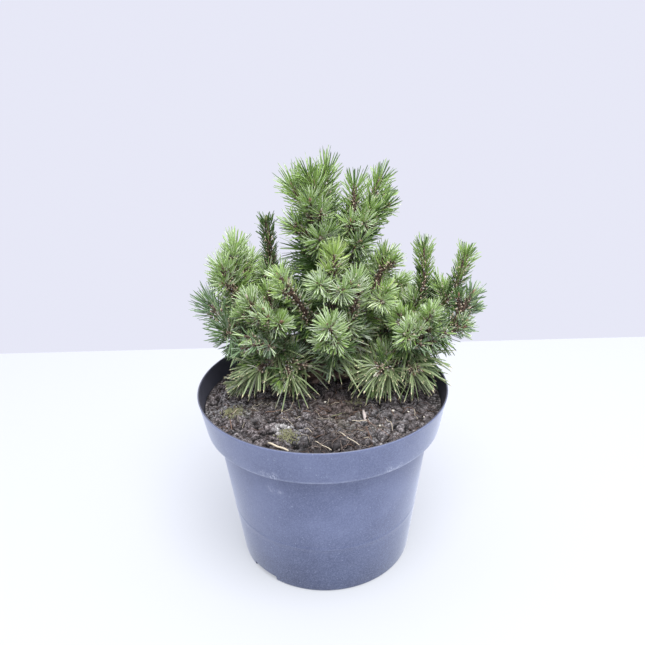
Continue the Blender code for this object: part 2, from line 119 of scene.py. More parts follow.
# Boughs: name, what carries it, where it leaves that as a share of its length, and where it ends
BOUGHS = (
    ("bough_top_right", "trunk", 0.60, (0.027, 0.027, 0.283)),
    ("bough_centre", "trunk", 0.47, (0.013, 0.006, 0.258)),
    ("bough_left", "trunk", 0.24, (-0.074, 0.028, 0.244)),
    ("bough_left_spike", "bough_left", 0.55, (-0.045, 0.048, 0.260)),
    ("bough_left_outer", "bough_left", 0.45, (-0.072, 0.010, 0.216)),
    ("bough_front_left", "trunk", 0.36, (-0.010, 0.009, 0.232)),
    ("bough_left_low", "trunk", 0.16, (-0.044, 0.006, 0.212)),
    ("bough_front", "trunk", 0.18, (0.012, -0.012, 0.212)),
    ("bough_front_right", "trunk", 0.30, (0.026, 0.004, 0.228)),
    ("bough_right_centre", "trunk", 0.40, (0.044, 0.024, 0.240)),
    ("bough_right", "trunk", 0.20, (0.090, 0.034, 0.232)),
    ("bough_right_tip", "bough_right", 0.60, (0.117, 0.030, 0.236)),
    ("bough_right_outer", "bough_right", 0.50, (0.108, 0.008, 0.216)),
    ("bough_right_front", "bough_right", 0.36, (0.082, -0.004, 0.214)),
    ("bough_skirt_left", "trunk", 0.05, (-0.034, 0.002, 0.192)),
    ("bough_skirt_right", "trunk", 0.06, (0.060, -0.001, 0.192)),
    ("bough_back", "trunk", 0.44, (0.004, 0.070, 0.262)),
    ("bough_back_left", "trunk", 0.33, (-0.046, 0.084, 0.222)),
    ("bough_back_right", "trunk", 0.27, (0.054, 0.082, 0.218)),
    ("bough_back_low", "trunk", 0.12, (0.004, 0.098, 0.206)),
    ("bough_back_low_left", "trunk", 0.10, (-0.060, 0.062, 0.200)),
    ("bough_back_low_right", "trunk", 0.09, (0.064, 0.062, 0.198)),
)


class Mass(NamedTuple):
    """A mass of needles on a limb's end. Each shoot has a bearing, a lean from upright and a length."""

    name: str
    limb: str
    needle: float
    tone: str
    buds: str
    shoots: tuple


MASSES = (
    Mass("needles_top_left", "trunk", 0.024, "mid", "rosy", (
        (170, 22, 0.068), (200, 6, 0.066), (75, 12, 0.074), (-155, 42, 0.043), (-95, 48, 0.036),
        (180, 78, 0.018))),
    Mass("needles_top_right", "bough_top_right", 0.023, "mid", "amber", (
        (-30, 5, 0.067), (30, 26, 0.075), (-20, 30, 0.048), (-70, 48, 0.034))),
    Mass("needles_centre", "bough_centre", 0.020, "fresh", "green", ((-95, 8, 0.040), (-125, 55, 0.026))),
    Mass("needles_left_spike", "bough_left_spike", 0.015, "deep", "green", ((130, 4, 0.054),)),
    Mass("needles_left_upper", "bough_left", 0.024, "mid", "rosy", (
        (100, 14, 0.052), (-150, 22, 0.040), (70, 42, 0.042))),
    Mass("needles_left_outer", "bough_left_outer", 0.025, "cool", "pale", (
        (170, 40, 0.042), (-125, 58, 0.026))),
    Mass("needles_front_left", "bough_front_left", 0.023, "bright", "rosy", ((-142, 32, 0.058),)),
    Mass("needles_left_front", "bough_left_low", 0.024, "bright", "rosy", (
        (-138, 26, 0.056), (-75, 48, 0.056), (110, 4, 0.050))),
    Mass("needles_front", "bough_front", 0.025, "bright", "rosy", ((-101, 40, 0.048),)),
    Mass("needles_front_right", "bough_front_right", 0.024, "bright", "rosy", ((-68, 16, 0.052),)),
    Mass("needles_right_centre", "bough_right_centre", 0.024, "bright", "pale", (
        (10, 18, 0.050), (-75, 66, 0.042))),
    Mass("needles_right_spike", "bough_right", 0.018, "mid", "green", ((45, 8, 0.057),)),
    Mass("needles_right_tip", "bough_right_tip", 0.018, "mid", "green", ((15, 20, 0.050), (125, 40, 0.022))),
    Mass("needles_right_outer", "bough_right_outer", 0.020, "cool", "rosy", (
        (-20, 33, 0.050), (-40, 62, 0.026))),
    Mass("needles_right_front", "bough_right_front", 0.024, "mid", "pale", (
        (-50, 30, 0.040), (-110, 56, 0.038), (160, 28, 0.030))),
    Mass("needles_skirt_left", "bough_skirt_left", 0.036, "olive", "pale", (
        (-155, 82, 0.030), (-70, 96, 0.020), (-25, 84, 0.024))),
    Mass("needles_skirt_right", "bough_skirt_right", 0.036, "olive", "amber", (
        (-118, 88, 0.026), (-35, 86, 0.034), (-10, 70, 0.034))),
    Mass("needles_back", "bough_back", 0.024, "mid", "rosy", (
        (100, 10, 0.060), (150, 24, 0.040), (40, 30, 0.044))),
    Mass("needles_back_left", "bough_back_left", 0.024, "mid", "pale", (
        (120, 14, 0.036), (175, 50, 0.038), (70, 50, 0.034))),
    Mass("needles_back_right", "bough_back_right", 0.024, "bright", "rosy", (
        (75, 14, 0.040), (15, 62, 0.036), (105, 48, 0.036))),
    Mass("needles_back_low", "bough_back_low", 0.025, "cool", "pale", (
        (90, 45, 0.034), (150, 66, 0.034), (30, 66, 0.034))),
    Mass("needles_back_low_left", "bough_back_low_left", 0.028, "olive", "amber", (
        (165, 50, 0.040), (125, 70, 0.030), (-155, 75, 0.026))),
    Mass("needles_back_low_right", "bough_back_low_right", 0.028, "olive", "pale", (
        (15, 50, 0.038), (55, 70, 0.030), (-25, 75, 0.026))),
)


def to_array(points):
    return np.array([tuple(p) for p in points])


def bent(start, knee, end, count):
    """Points along a quadratic curve."""
    shares = (i / (count - 1) for i in range(count))
    return [start * (1 - t) ** 2 + knee * 2 * t * (1 - t) + end * t**2 for t in shares]


def tapered(first, last, count):
    """Radii from the first to the last in even steps."""
    return [first + (last - first) * i / (count - 1) for i in range(count)]


def heading(bearing, lean):
    """A unit vector: bearing from +X towards +Y, lean from upright."""
    b, a = math.radians(bearing), math.radians(lean)
    return Vector((math.sin(a) * math.cos(b), math.sin(a) * math.sin(b), math.cos(a)))


def across(direction, turn):
    """A unit vector square to direction, turned about it by a number of degrees from its upper side."""
    side = direction.cross(Vector((0, 0, 1)))
    if side.length < 0.05:
        side = direction.cross(Vector((0, 1, 0)))
    side.normalize()
    a = math.radians(turn)
    return side.cross(direction) * math.cos(a) + side * math.sin(a)


class Limb(NamedTuple):
    """A tapering limb as points and radii."""

    points: list
    radii: list

    def length(self):
        return sum((q - p).length for p, q in zip(self.points, self.points[1:]))

    def piece(self, share):
        """The number of the piece at a share of the length, and the share of that piece."""
        step = min(share, 0.9999) * (len(self.points) - 1)
        return int(step), step - int(step)

    def at(self, share):
        """(place, radius, direction) at a share of the length."""
        i, t = self.piece(share)
        a, b = self.points[i : i + 2]
        return a.lerp(b, t), self.radii[i] + (self.radii[i + 1] - self.radii[i]) * t, (b - a).normalized()

    def smooth(self, count):
        """The same limb as a smooth curve through its points."""
        pts = self.points
        points, radii = [], []
        for k in range(count):
            i, t = self.piece(k / (count - 1))
            a, b, c, d = pts[max(i - 1, 0)], pts[i], pts[i + 1], pts[min(i + 2, len(pts) - 1)]
            cubic = (b * 3 - a - c * 3 + d) * t**3
            points.append((b * 2 + (c - a) * t + (a * 2 - b * 5 + c * 4 - d) * t**2 + cubic) / 2)
            radii.append(self.at(k / (count - 1))[1])
        points[-1] = pts[-1]
        return Limb(points, radii)


def segments_of(*limbs):
    """Start points, end points and radii of the pieces of limbs, as arrays."""
    parts = []
    for limb in limbs:
        points, radii = to_array(limb.points), np.array(limb.radii)
        parts.append((points[:-1], points[1:], radii[:-1], radii[1:]))
    return [np.concatenate(part) for part in zip(*parts)]


def distance(places, segments, with_radius):
    """For each place, the distance to the nearest piece's axis, or to its surface."""
    a, b, ra, rb = segments
    ab = b - a
    ap = places[:, None, :] - a[None]
    share = np.clip((ap * ab[None]).sum(2) / (ab * ab).sum(1)[None], 0, 1)
    off = np.linalg.norm(ap - share[..., None] * ab[None], axis=2)
    if with_radius:
        off = off - (ra + (rb - ra) * share)
    return off.min(axis=1)


def grow_trunk():
    """The trunk leans a little to the right, bows, and flares into the soil at its foot."""
    curve = bent(FOOT, (FOOT + TRUNK_TIP) / 2 + TRUNK_BOW, TRUNK_TIP, TRUNK_POINTS)
    points = [FOOT + Vector((0, 0, rise * FLARE_FADE)) for rise in (0, 1, 2.2)] + curve[2:]
    radii = []
    for place in points:
        rise = place.z - FOOT.z
        share = rise / (TRUNK_TIP.z - FOOT.z)
        flare = (FLARE_RADIUS - TRUNK_FOOT_RADIUS) * math.exp(-rise / FLARE_FADE)
        radii.append(TRUNK_FOOT_RADIUS + (TRUNK_TIP_RADIUS - TRUNK_FOOT_RADIUS) * share + flare)
    return Limb(points, radii)


def grow_bough(parent, leaves, end):
    """A bough leaves its parent, runs out, and turns up to its end. Its foot stays clear of the parent."""
    root, parent_radius, _ = parent.at(leaves)
    end = Vector(end)
    knee = root.lerp(end, KNEE_ALONG)
    knee.z = root.z + (end.z - root.z) * KNEE_RISE
    path = bent(root, knee, end, PATH_POINTS)
    thick = BOUGH_TIP_RADIUS + BOUGH_TAPER * Limb(path, []).length()
    foot_radius = min(thick, BOUGH_TO_PARENT * parent_radius)
    carrier = segments_of(parent)

    def gap(i):
        """How far the round end of a bough that starts at point i of the path stays from its parent."""
        direction = (path[i + 1] - path[i]).normalized()
        ring = [path[i] + across(direction, turn) * foot_radius for turn in range(0, 360, RING_STEP)]
        return distance(to_array(ring), carrier, True).min()

    first = next(i for i in range(PATH_POINTS - 1) if gap(i) >= GAP)
    step = (PATH_POINTS - 1 - first) / (BOUGH_POINTS - 1)
    points = [path[first + round(i * step)] for i in range(BOUGH_POINTS)]
    return Limb(points, tapered(foot_radius, min(BOUGH_TIP_RADIUS, foot_radius), BOUGH_POINTS))


def grow_shoots(mass, limb):
    """The stem of a mass, which goes on from its limb's end, and the shoots that fork from it."""
    direction = (limb.points[-1] - limb.points[-2]).normalized()
    foot = limb.points[-1] + direction * GAP
    grown = [Limb([foot, foot + direction * STEM_LENGTH], [STEM_RADIUS, STEM_RADIUS])]
    start = foot + direction * STEM_LENGTH * FORK_SHARE
    for bearing, lean, length in mass.shoots:
        way = heading(bearing, lean)
        tip = foot + way * length
        knee = start.lerp(tip, SHOOT_KNEE) + (direction - way) * length * SHOOT_BEND
        count = 3 if length < SHORT_SHOOT else 4
        grown.append(Limb(bent(start, knee, tip, count), tapered(SHOOT_RADIUS, SHOOT_TIP_RADIUS, count)))
    return grown


class Space(NamedTuple):
    """The space of a mass: nearer to its own shoots than to others', off the limbs and above the soil."""

    own: list
    others: list
    limbs: list

    def holds(self, start, end, radius):
        """True if a twig from start to end stays inside. Its first part may be sunk in its own shoot."""
        count = max(5, round((end - start).length / PROBE_STEP))
        a, b = to_array((start, end))
        places = a + (b - a) * np.linspace(0, 1, count)[:, None]
        room = distance(places, self.others, False) - distance(places, self.own, False)
        near_limb = distance(places, self.limbs, True) < radius + CLEAR
        in_soil = places[:, 2] - radius < SOIL_HEIGHT + CLEAR
        reach = np.hypot(places[:, 0], places[:, 1]) + radius
        at_rim = (places[:, 2] < POT_HEIGHT + RIM_ABOVE) & (reach > RIM_RADIUS - RIM_ROOM)
        return not ((room < 2 * radius + CLEAR) | near_limb | in_soil | at_rim).any()


def grow_twig(shoot, space, rng):
    """The side twig of a long shoot, in a list, or no twig where it would leave the space."""
    length = (shoot.points[-1] - shoot.points[0]).length
    turn, reach, spread = rng.uniform(0, 360), rng.uniform(*TWIG_REACH), rng.uniform(*TWIG_SPREAD)
    root, _, direction = shoot.at(TWIG_SHARE)
    tip = root + (direction + across(direction, turn) * spread).normalized() * length * reach
    fits = length > TWIG_MIN_SHOOT and space.holds(root, tip, TWIG_RADIUS)
    return [Limb([root, tip], [TWIG_RADIUS, TWIG_RADIUS])] if fits else []


# Meshes


def placed(name, data):
    """A new object in the scene."""
    ob = bpy.data.objects.new(name, data)
    bpy.context.scene.collection.objects.link(ob)
    return ob


def apply_modifiers(ob):
    bpy.context.view_layer.update()
    made = bpy.data.meshes.new_from_object(ob.evaluated_get(bpy.context.evaluated_depsgraph_get()))
    ob.modifiers.clear()
    ob.data = made


class Pile:
    """Vertices and faces collected by material, then made one mesh."""

    def __init__(self):
        self.verts = []
        self.faces = {4: [], 3: []}
        self.mats = {4: [], 3: []}
        self.count = 0

    def add(self, verts, quads=(), tris=(), mat=0, tri_mat=None):
        """Adds vertices with their faces. Triangles have the quads' material if none is given for them."""
        for width, faces, mats in ((4, quads, mat), (3, tris, mat if tri_mat is None else tri_mat)):
            faces = np.asarray(faces, np.int64).reshape(-1, width)
            self.faces[width].append(faces + self.count)
            self.mats[width].append(np.broadcast_to(mats, len(faces)))
        self.verts.append(np.asarray(verts, np.float32).reshape(-1, 3))
        self.count += len(self.verts[-1])

    def to_object(self, name, mats, smooth=True):
        verts, quads, tris = (np.concatenate(parts) for parts in (self.verts, self.faces[4], self.faces[3]))
        corners = np.concatenate([quads.ravel(), tris.ravel()])
        starts = np.concatenate([np.arange(len(quads)) * 4, quads.size + np.arange(len(tris)) * 3])
        mesh = bpy.data.meshes.new(name)
        mesh.vertices.add(len(verts))
        mesh.vertices.foreach_set("co", verts.ravel())
        mesh.loops.add(len(corners))
        mesh.loops.foreach_set("vertex_index", corners.astype(np.int32))
        mesh.polygons.add(len(starts))
        mesh.polygons.foreach_set("loop_start", starts.astype(np.int32))
        slots = np.concatenate(self.mats[4] + self.mats[3])
        mesh.polygons.foreach_set("material_index", slots.astype(np.int32))
        mesh.polygons.foreach_set("use_smooth", np.full(len(starts), smooth))
        mesh.update(calc_edges=True)
        mesh.validate()
        for mat in mats:
            mesh.materials.append(mat)
        return placed(name, mesh)


def ring_quads(rings, sides):
    """Quads between closed rings of vertices that follow each other."""
    k = np.arange(rings * sides).reshape(rings, sides)
    n = np.roll(k, -1, 1)
    return np.stack([k[:-1], n[:-1], n[1:], k[1:]], -1).reshape(-1, 4)


def tube_arrays(points, radii, sides, relief=None):
    """Vertices, quads and end triangles of a closed tube. relief(ring, turn) scales the radius."""
    points = to_array(points)
    count = len(points)
    tangents = np.gradient(points, axis=0)
    tangents /= np.linalg.norm(tangents, axis=1)[:, None]
    normal = np.array(tuple(across(Vector(tangents[0]), 0)))
    normals = []
    for t in tangents:
        normal = normal - t * normal.dot(t)
        normal /= np.linalg.norm(normal)
        normals.append(normal)
    turns = np.arange(sides) * 2 * math.pi / sides
    ring = np.array(normals)[:, None] * np.cos(turns)[:, None]
    ring = ring + np.cross(tangents, normals)[:, None] * np.sin(turns)[:, None]
    scale = relief(np.arange(count)[:, None], turns[None]) if relief else np.ones((count, sides))
    verts = points[:, None] + ring * (np.array(radii)[:, None] * scale)[..., None]
    k = np.arange(sides)
    n = (k + 1) % sides
    last = (count - 1) * sides
    tris = np.concatenate([
        np.stack([np.full(sides, count * sides), n, k], -1),
        np.stack([np.full(sides, count * sides + 1), last + k, last + n], -1),
    ])
    return np.concatenate([verts.reshape(-1, 3), points[[0, -1]]]), ring_quads(count, sides), tris


# Materials


def put(node, values):
    """Sets a node's inputs. An input that is given a socket is linked to it."""
    for key, value in values.items():
        if isinstance(value, bpy.types.NodeSocket):
            node.id_data.links.new(value, node.inputs[key])
        else:
            node.inputs[key].default_value = value


def plain(name, colour, roughness, specular=0.5):
    mat = bpy.data.materials.new(name)
    mat.use_nodes = True
    shader = mat.node_tree.nodes["Principled BSDF"]
    put(shader, {"Base Color": (*colour, 1), "Roughness": roughness, "Specular IOR Level": specular})
    return mat


class Nodes:
    """Short calls for the nodes of a material or of the surround."""

    def __init__(self, owner, shader="Principled BSDF", coordinates="Object"):
        self.tree = owner.node_tree
        self.shader = self.tree.nodes[shader]
        self.place = self.add("TexCoord", {}).outputs[coordinates]

    def add(self, kind, inputs, **settings):
        node = self.tree.nodes.new("ShaderNode" + kind)
        for key, value in settings.items():
            setattr(node, key, value)
        put(node, inputs)
        return node

    def stretched(self, scale):
        return self.add("Mapping", {"Scale": scale, "Vector": self.place}).outputs["Vector"]

    def noise(self, scale, detail=4, roughness=0.6, vector=None):
        inputs = {"Scale": scale, "Detail": detail, "Roughness": roughness, "Vector": vector or self.place}
        return self.add("TexNoise", inputs).outputs["Fac"]

    def ramp(self, value, *stops):
        node = self.add("ValToRGB", {"Fac": value})
        elements = node.color_ramp.elements
        while len(elements) < len(stops):
            elements.new(0.5)
        for element, (position, colour) in zip(elements, stops):
            element.position = position
            element.color = (*colour, 1) if isinstance(colour, tuple) else (colour, colour, colour, 1)
        return node.outputs["Color"]

    def mix(self, share, a, b, kind="MIX"):
        """Colour a, and colour b by a share. A colour is an output or three numbers."""
        a, b = ((*colour, 1) if isinstance(colour, tuple) else colour for colour in (a, b))
        return self.add("Mix", {0: share, 6: a, 7: b}, data_type="RGBA", blend_type=kind).outputs[2]

    def times(self, a, b):
        return self.mix(1.0, a, b, "MULTIPLY")

    def fade(self, value, low, high, at_low, at_high, kind="SMOOTHSTEP"):
        """at_low where the value is low or less, at_high where it is high or more, and between in between."""
        inputs = {"Value": value, "From Min": low, "From Max": high, "To Min": at_low, "To Max": at_high}
        return self.add("MapRange", inputs, interpolation_type=kind).outputs[0]

    def near(self, place, size, strength):
        """The strength at a place, fading to 0 at a distance."""
        off = self.add("VectorMath", {0: self.place, 1: place}, operation="DISTANCE")
        return self.fade(off.outputs["Value"], size * 0.2, size, strength, 0)

    def band(self, value, middle, half, strength):
        """The strength where the value is at the middle, fading to 0 at half a width away."""
        off = self.add("Math", {0: value, 1: middle}, operation="SUBTRACT")
        size = self.add("Math", {0: off.outputs[0]}, operation="ABSOLUTE")
        return self.fade(size.outputs[0], 0, half, strength, 0)

    def bump(self, height, strength, depth):
        node = self.add("Bump", {"Strength": strength, "Distance": depth, "Height": height})
        put(self.shader, {"Normal": node.outputs["Normal"]})


# Pot

# Worn places: where, how far across, how strong
SCUFFS = (
    ((-0.0420, -0.1010, 0.1420), 0.007, 0.7),
    ((-0.0500, -0.0970, 0.1422), 0.006, 0.5),
    ((0.0540, -0.0950, 0.1410), 0.007, 0.6),
    ((0.0620, -0.0900, 0.1410), 0.006, 0.6),
    ((-0.0460, -0.0855, 0.1185), 0.006, 0.4),
    ((-0.0380, -0.0890, 0.1175), 0.005, 0.4),
    ((0.0700, 0.0850, 0.1420), 0.010, 0.7),
    ((0.0700, -0.0720, 0.1520), 0.010, 0.25),
)
# Rubbed edges with painted highlight lines along them: at what height, half how wide, how strong
WEAR_AND_HIGHLIGHT_LINES = (
    (COLLAR_FOOT + 0.0018, 0.0012, 0.60),
    (POT_HEIGHT - 0.0004, 0.0007, 0.10),
    (RING_HEIGHT, 0.0007, 0.14),
)
# Pale colour of the dust, also used for the painted highlight lines along the edges
DUST_AND_HIGHLIGHT = (0.36, 0.40, 0.52)


def pot_material():
    """Slate grey moulded plastic: mottled, dusty, with painted shade darkening it towards the foot, scuffed
    along its edges, and rubbed with painted highlight lines along the collar's foot, the lip and the ring.
    """
    mat = plain("slate_plastic", (0.06, 0.07, 0.13), 0.4)
    n = Nodes(mat)
    height = n.add("SeparateXYZ", {0: n.place}).outputs["Z"]
    cloud = n.noise(22, 6, 0.65)
    # Painted shade: the darker low colours take over towards the foot.
    low = n.ramp(cloud, (0.34, (0.026, 0.038, 0.094)), (0.66, (0.046, 0.063, 0.134)))
    high = n.ramp(cloud, (0.34, (0.082, 0.103, 0.198)), (0.66, (0.130, 0.157, 0.272)))
    shade = n.mix(n.fade(height, 0.004, 0.085, 0, 1, "LINEAR"), low, high)
    shade = n.mix(n.ramp(n.noise(700, 4, 0.85), (0.44, 0.0), (0.62, 0.34)), shade, (0.25, 0.29, 0.42))
    shade = n.mix(n.ramp(n.noise(420, 2, 0.9), (0.65, 0.0), (0.71, 0.45)), shade, DUST_AND_HIGHLIGHT)
    scratch = n.ramp(n.noise(620, 5, 0.8, n.stretched((1, 1, 0.5))), (0.46, 0.0), (0.60, 1.0))
    for place, size, strength in SCUFFS:
        shade = n.mix(n.times(scratch, n.near(place, size, strength)), shade, (0.50, 0.54, 0.66))
    # Painted highlights, mottled as wear, along the collar's foot, the lip and the ring
    rub_and_highlight = n.ramp(n.noise(60, 4, 0.7), (0.38, 0.15), (0.62, 0.9))
    for middle, half, strength in WEAR_AND_HIGHLIGHT_LINES:
        shade = n.mix(n.times(rub_and_highlight, n.band(height, middle, half, strength)), shade, DUST_AND_HIGHLIGHT)
    put(n.shader, {
        "Base Color": shade, "Roughness": n.ramp(cloud, (0.3, 0.30), (0.7, 0.42)),
        "Sheen Weight": 0.45, "Sheen Roughness": 0.35, "Sheen Tint": (0.86, 0.91, 1.0, 1),
    })
    n.bump(n.noise(900, 3, 0.7), 0.25, 0.0002)
    return mat


def arc(centre, radius, start, end, count):
    """Points of an arc in the plane of (radius, height), by angle in degrees."""
    angles = [math.radians(start + (end - start) * i / (count - 1)) for i in range(count)]
    return [(centre[0] + radius * math.cos(a), centre[1] + radius * math.sin(a)) for a in angles]


def body_radius(z):
    return BASE_RADIUS + (BODY_TOP_RADIUS - BASE_RADIUS) / COLLAR_FOOT * z


def collar_radius(z):
    return COLLAR_FOOT_RADIUS + (RIM_RADIUS - COLLAR_FOOT_RADIUS) / COLLAR_HEIGHT * (z - COLLAR_FOOT)


def wall(radius, start, end, count, inset=0.0):
    """Points of the wall from a start height to an end height."""
    return [(radius(z) - inset, z) for z in np.linspace(start, end, count)]


def pot_profile():
    """The section of the pot's wall, from the lip down its outside, across its base and up its inside."""
    lip = POT_HEIGHT - LIP_ROUND
    edge = (collar_radius(COLLAR_FOOT) - COLLAR_ROUND, COLLAR_FOOT + COLLAR_ROUND)
    corner = (body_radius(COLLAR_FOOT) + CORNER_ROUND, COLLAR_FOOT - CORNER_ROUND)
    ring = ((RING_HALF, 0), (0, RING_DEPTH), (-RING_HALF, 0))
    profile = [
        *arc((RIM_RADIUS - LIP_ROUND, lip), LIP_ROUND, 170, 0, 9),
        *wall(collar_radius, lip - 0.003, COLLAR_FOOT + 0.004, 8, 0.0001),
        *arc(edge, COLLAR_ROUND, 0, -90, 7),
        *arc(corner, CORNER_ROUND, 90, 180, 5),
        *wall(body_radius, COLLAR_FOOT - 0.006, RING_HEIGHT + 0.004, 14),
        *((body_radius(RING_HEIGHT + rise) + out, RING_HEIGHT + rise) for rise, out in ring),
        *wall(body_radius, RING_HEIGHT - 0.006, 0.006, 8),
        *arc((BASE_RADIUS - FOOT_ROUND, FOOT_ROUND), FOOT_ROUND, 0, -90, 6),
        (0.03, 0.0), (0, 0), (0, BASE_SLAB), (body_radius(BASE_SLAB) - WALL, BASE_SLAB),
        *wall(body_radius, BASE_SLAB + 0.004, COLLAR_FOOT - FOLD, 6, WALL),
        (COLLAR_FOOT_RADIUS - FOLD - WALL, COLLAR_FOOT + FOLD),
        *wall(collar_radius, COLLAR_FOOT + 0.004, lip - 0.001, 8, WALL),
    ]
    return [*profile, profile[0]]


def build_pot():
    """The pot's wall, turned from a profile with rounded edges, with the drain notches cut out."""
    profile = pot_profile()
    mesh = bpy.data.meshes.new("pot_shell")
    mesh.from_pydata([(r, 0, z) for r, z in profile], [(i, i + 1) for i in range(len(profile) - 1)], [])
    pot = placed("pot_shell", mesh)
    screw = pot.modifiers.new("turn", "SCREW")
    screw.steps = screw.render_steps = POT_SIDES
    screw.use_merge_vertices = True
    screw.merge_threshold = 0.00002
    cutters = []
    for bearing in DRAIN_BEARINGS:
        bpy.ops.mesh.primitive_cube_add(size=1)
        cutter = bpy.context.object
        cutter.scale = (2 * DRAIN_DEPTH, DRAIN_WIDTH, 2 * DRAIN_HEIGHT)
        cutter.location = heading(bearing, 90) * (BASE_RADIUS + DRAIN_DEPTH / 2)
        cutter.rotation_euler = (0, 0, math.radians(bearing))
        cut = pot.modifiers.new("drain", "BOOLEAN")
        cut.operation = "DIFFERENCE"
        cut.object = cutter
        cutters.append(cutter)
    apply_modifiers(pot)
    for cutter in cutters:
        bpy.data.objects.remove(cutter)
    made = pot.data
    made.shade_smooth()
    made.set_sharp_from_angle(angle=math.radians(SHARP_ANGLE))
    made.materials.clear()
    made.materials.append(pot_material())
    # Painted shade: the inside and the faces that look up, such as the lip's top, take a darker copy of the
    # plastic without its sheen
    made.materials.append(plain("slate_plastic_inside", (0.058, 0.060, 0.082), 0.42))
    for face in made.polygons:
        inward = face.normal.x * face.center.x + face.normal.y * face.center.y < 0
        face.material_index = int(face.center.z > BASE_SLAB and (inward or face.normal.z > 0.6))
    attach(pot, "root")
    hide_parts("pot")


# Soil

# Moss, pale crusts and a brown patch, with painted shade along the front edge and painted light on the right:
# where, how far across, how strong, and the colour
SOIL_FILMS_AND_PAINTED_LIGHT = (
    ((-0.0335, -0.0600, 0.163), 0.014, 1.0, (0.74, 0.73, 0.71)),
    ((-0.0230, -0.0620, 0.162), 0.014, 0.8, (0.34, 0.33, 0.35)),
    # Painted light: a pale grey patch on the right
    ((0.0750, -0.0350, 0.160), 0.045, 0.25, (0.22, 0.205, 0.205)),
    ((-0.0870, -0.0130, 0.160), 0.010, 0.60, (0.34, 0.34, 0.35)),
    ((-0.0810, -0.0270, 0.160), 0.011, 0.80, (0.19, 0.19, 0.11)),
    ((-0.0300, -0.0680, 0.162), 0.011, 0.70, (0.19, 0.18, 0.09)),
    ((-0.0600, -0.0450, 0.162), 0.014, 0.35, (0.22, 0.21, 0.20)),
    ((0.0500, 0.0760, 0.159), 0.012, 0.70, (0.19, 0.19, 0.11)),
    # Painted shade: a near-black patch along the front edge by the rim
    ((0.0000, -0.1000, 0.158), 0.056, 0.96, (0.020, 0.018, 0.018)),
    ((0.0120, -0.0240, 0.160), 0.038, 0.50, (0.120, 0.078, 0.060)),
)
# Mounds and clefts of the surface: (x, y, radius, height)
LUMPS = (
    (-0.031, -0.067, 0.011, 0.0042), (-0.056, -0.048, 0.014, 0.0020), (-0.082, -0.026, 0.013, 0.0018),
    (-0.012, -0.086, 0.010, 0.0016), (-0.0480, -0.0600, 0.004, -0.0040), (-0.0180, -0.0860, 0.006, -0.0050),
    (-0.0600, -0.0480, 0.0032, -0.0040), (-0.0575, -0.0540, 0.0030, -0.0040),
    (-0.0550, -0.0600, 0.0030, -0.0040), (-0.0530, -0.0660, 0.0032, -0.0040),
    (-0.0060, -0.0700, 0.005, -0.0024), (0.0100, -0.0880, 0.005, -0.0036), (0.045, -0.068, 0.018, 0.0016),
    (0.078, -0.040, 0.016, 0.0014), (0.002, -0.030, 0.020, 0.0020), (0.020, -0.052, 0.010, -0.0014),
    (0.064, -0.060, 0.008, -0.0016), (-0.070, -0.060, 0.010, -0.0014), (-0.004, -0.0970, 0.0050, -0.0056),
    (-0.036, -0.0910, 0.0045, -0.0056), (0.026, -0.0940, 0.0050, -0.0056), (0.046, -0.0860, 0.0045, -0.0050),
    (-0.052, -0.0800, 0.0050, -0.0050), (-0.024, -0.0800, 0.0035, -0.0048),
)
# Clods: how many to a metre, and how high. Their edges wander by a noise that starts from a seed, so that the
# soil is the same in each run.
CLODS = ((84, 0.0042), (340, 0.0011))
WANDER_FINENESS = 90
WANDER_REACH = 0.004
WANDER_SEED = 1796073804
# How a place counts as raised, for the painted shade in the clefts: neighbours in grid steps, and heights
# below and above their mean
BLUR = range(-4, 5)
RAISED_LOW = 0.0009
RAISED_HIGH = 0.0005


def soil_material():
    """Moist peat with grey dried crusts and a little greenish film, with painted shade in its clefts and
    along its front edge, and a patch of painted light on the right.
    """
    mat = plain("peat", (0.1, 0.09, 0.08), 0.92, 0.2)
    n = Nodes(mat)
    grain = n.noise(480, 6, 0.78)
    brown, grey = (n.ramp(grain, *zip((0.36, 0.50, 0.64), colours)) for colours in (
        ((0.012, 0.010, 0.010), (0.089, 0.076, 0.076), (0.38, 0.340, 0.335)),
        ((0.018, 0.017, 0.018), (0.135, 0.130, 0.132), (0.58, 0.57, 0.575)),
    ))
    shade = n.mix(n.ramp(n.noise(40, 5, 0.7), (0.48, 0.0), (0.60, 0.80)), brown, grey)
    shade = n.mix(n.ramp(n.noise(21, 3, 0.6), (0.60, 0.0), (0.72, 0.40)), shade, (0.17, 0.165, 0.095))
    grained = n.ramp(grain, (0.34, 0.25), (0.56, 1.0))
    for place, size, strength, colour in SOIL_FILMS_AND_PAINTED_LIGHT:
        shade = n.mix(n.times(grained, n.near(place, size, strength)), shade, colour)
    raised = n.add("Attribute", {}, attribute_name="raised").outputs["Fac"]
    # Painted shade: the colour darkens where a place is not raised
    put(n.shader, {"Base Color": n.mix(0.95, shade, n.times(shade, raised))})
    n.bump(n.noise(700, 5, 0.85), 1.0, 0.0011)
    return mat


def soil_level(radius):
    """The soil's height without its relief."""
    return float(np.interp(
        radius,
        (0, SOIL_FLAT_RADIUS, SOIL_SHOULDER_RADIUS, SOIL_RADIUS),
        (SOIL_HEIGHT, SOIL_HEIGHT, SOIL_HEIGHT - SOIL_SHOULDER_DROP, SOIL_HEIGHT - SOIL_EDGE_DROP),
    ))


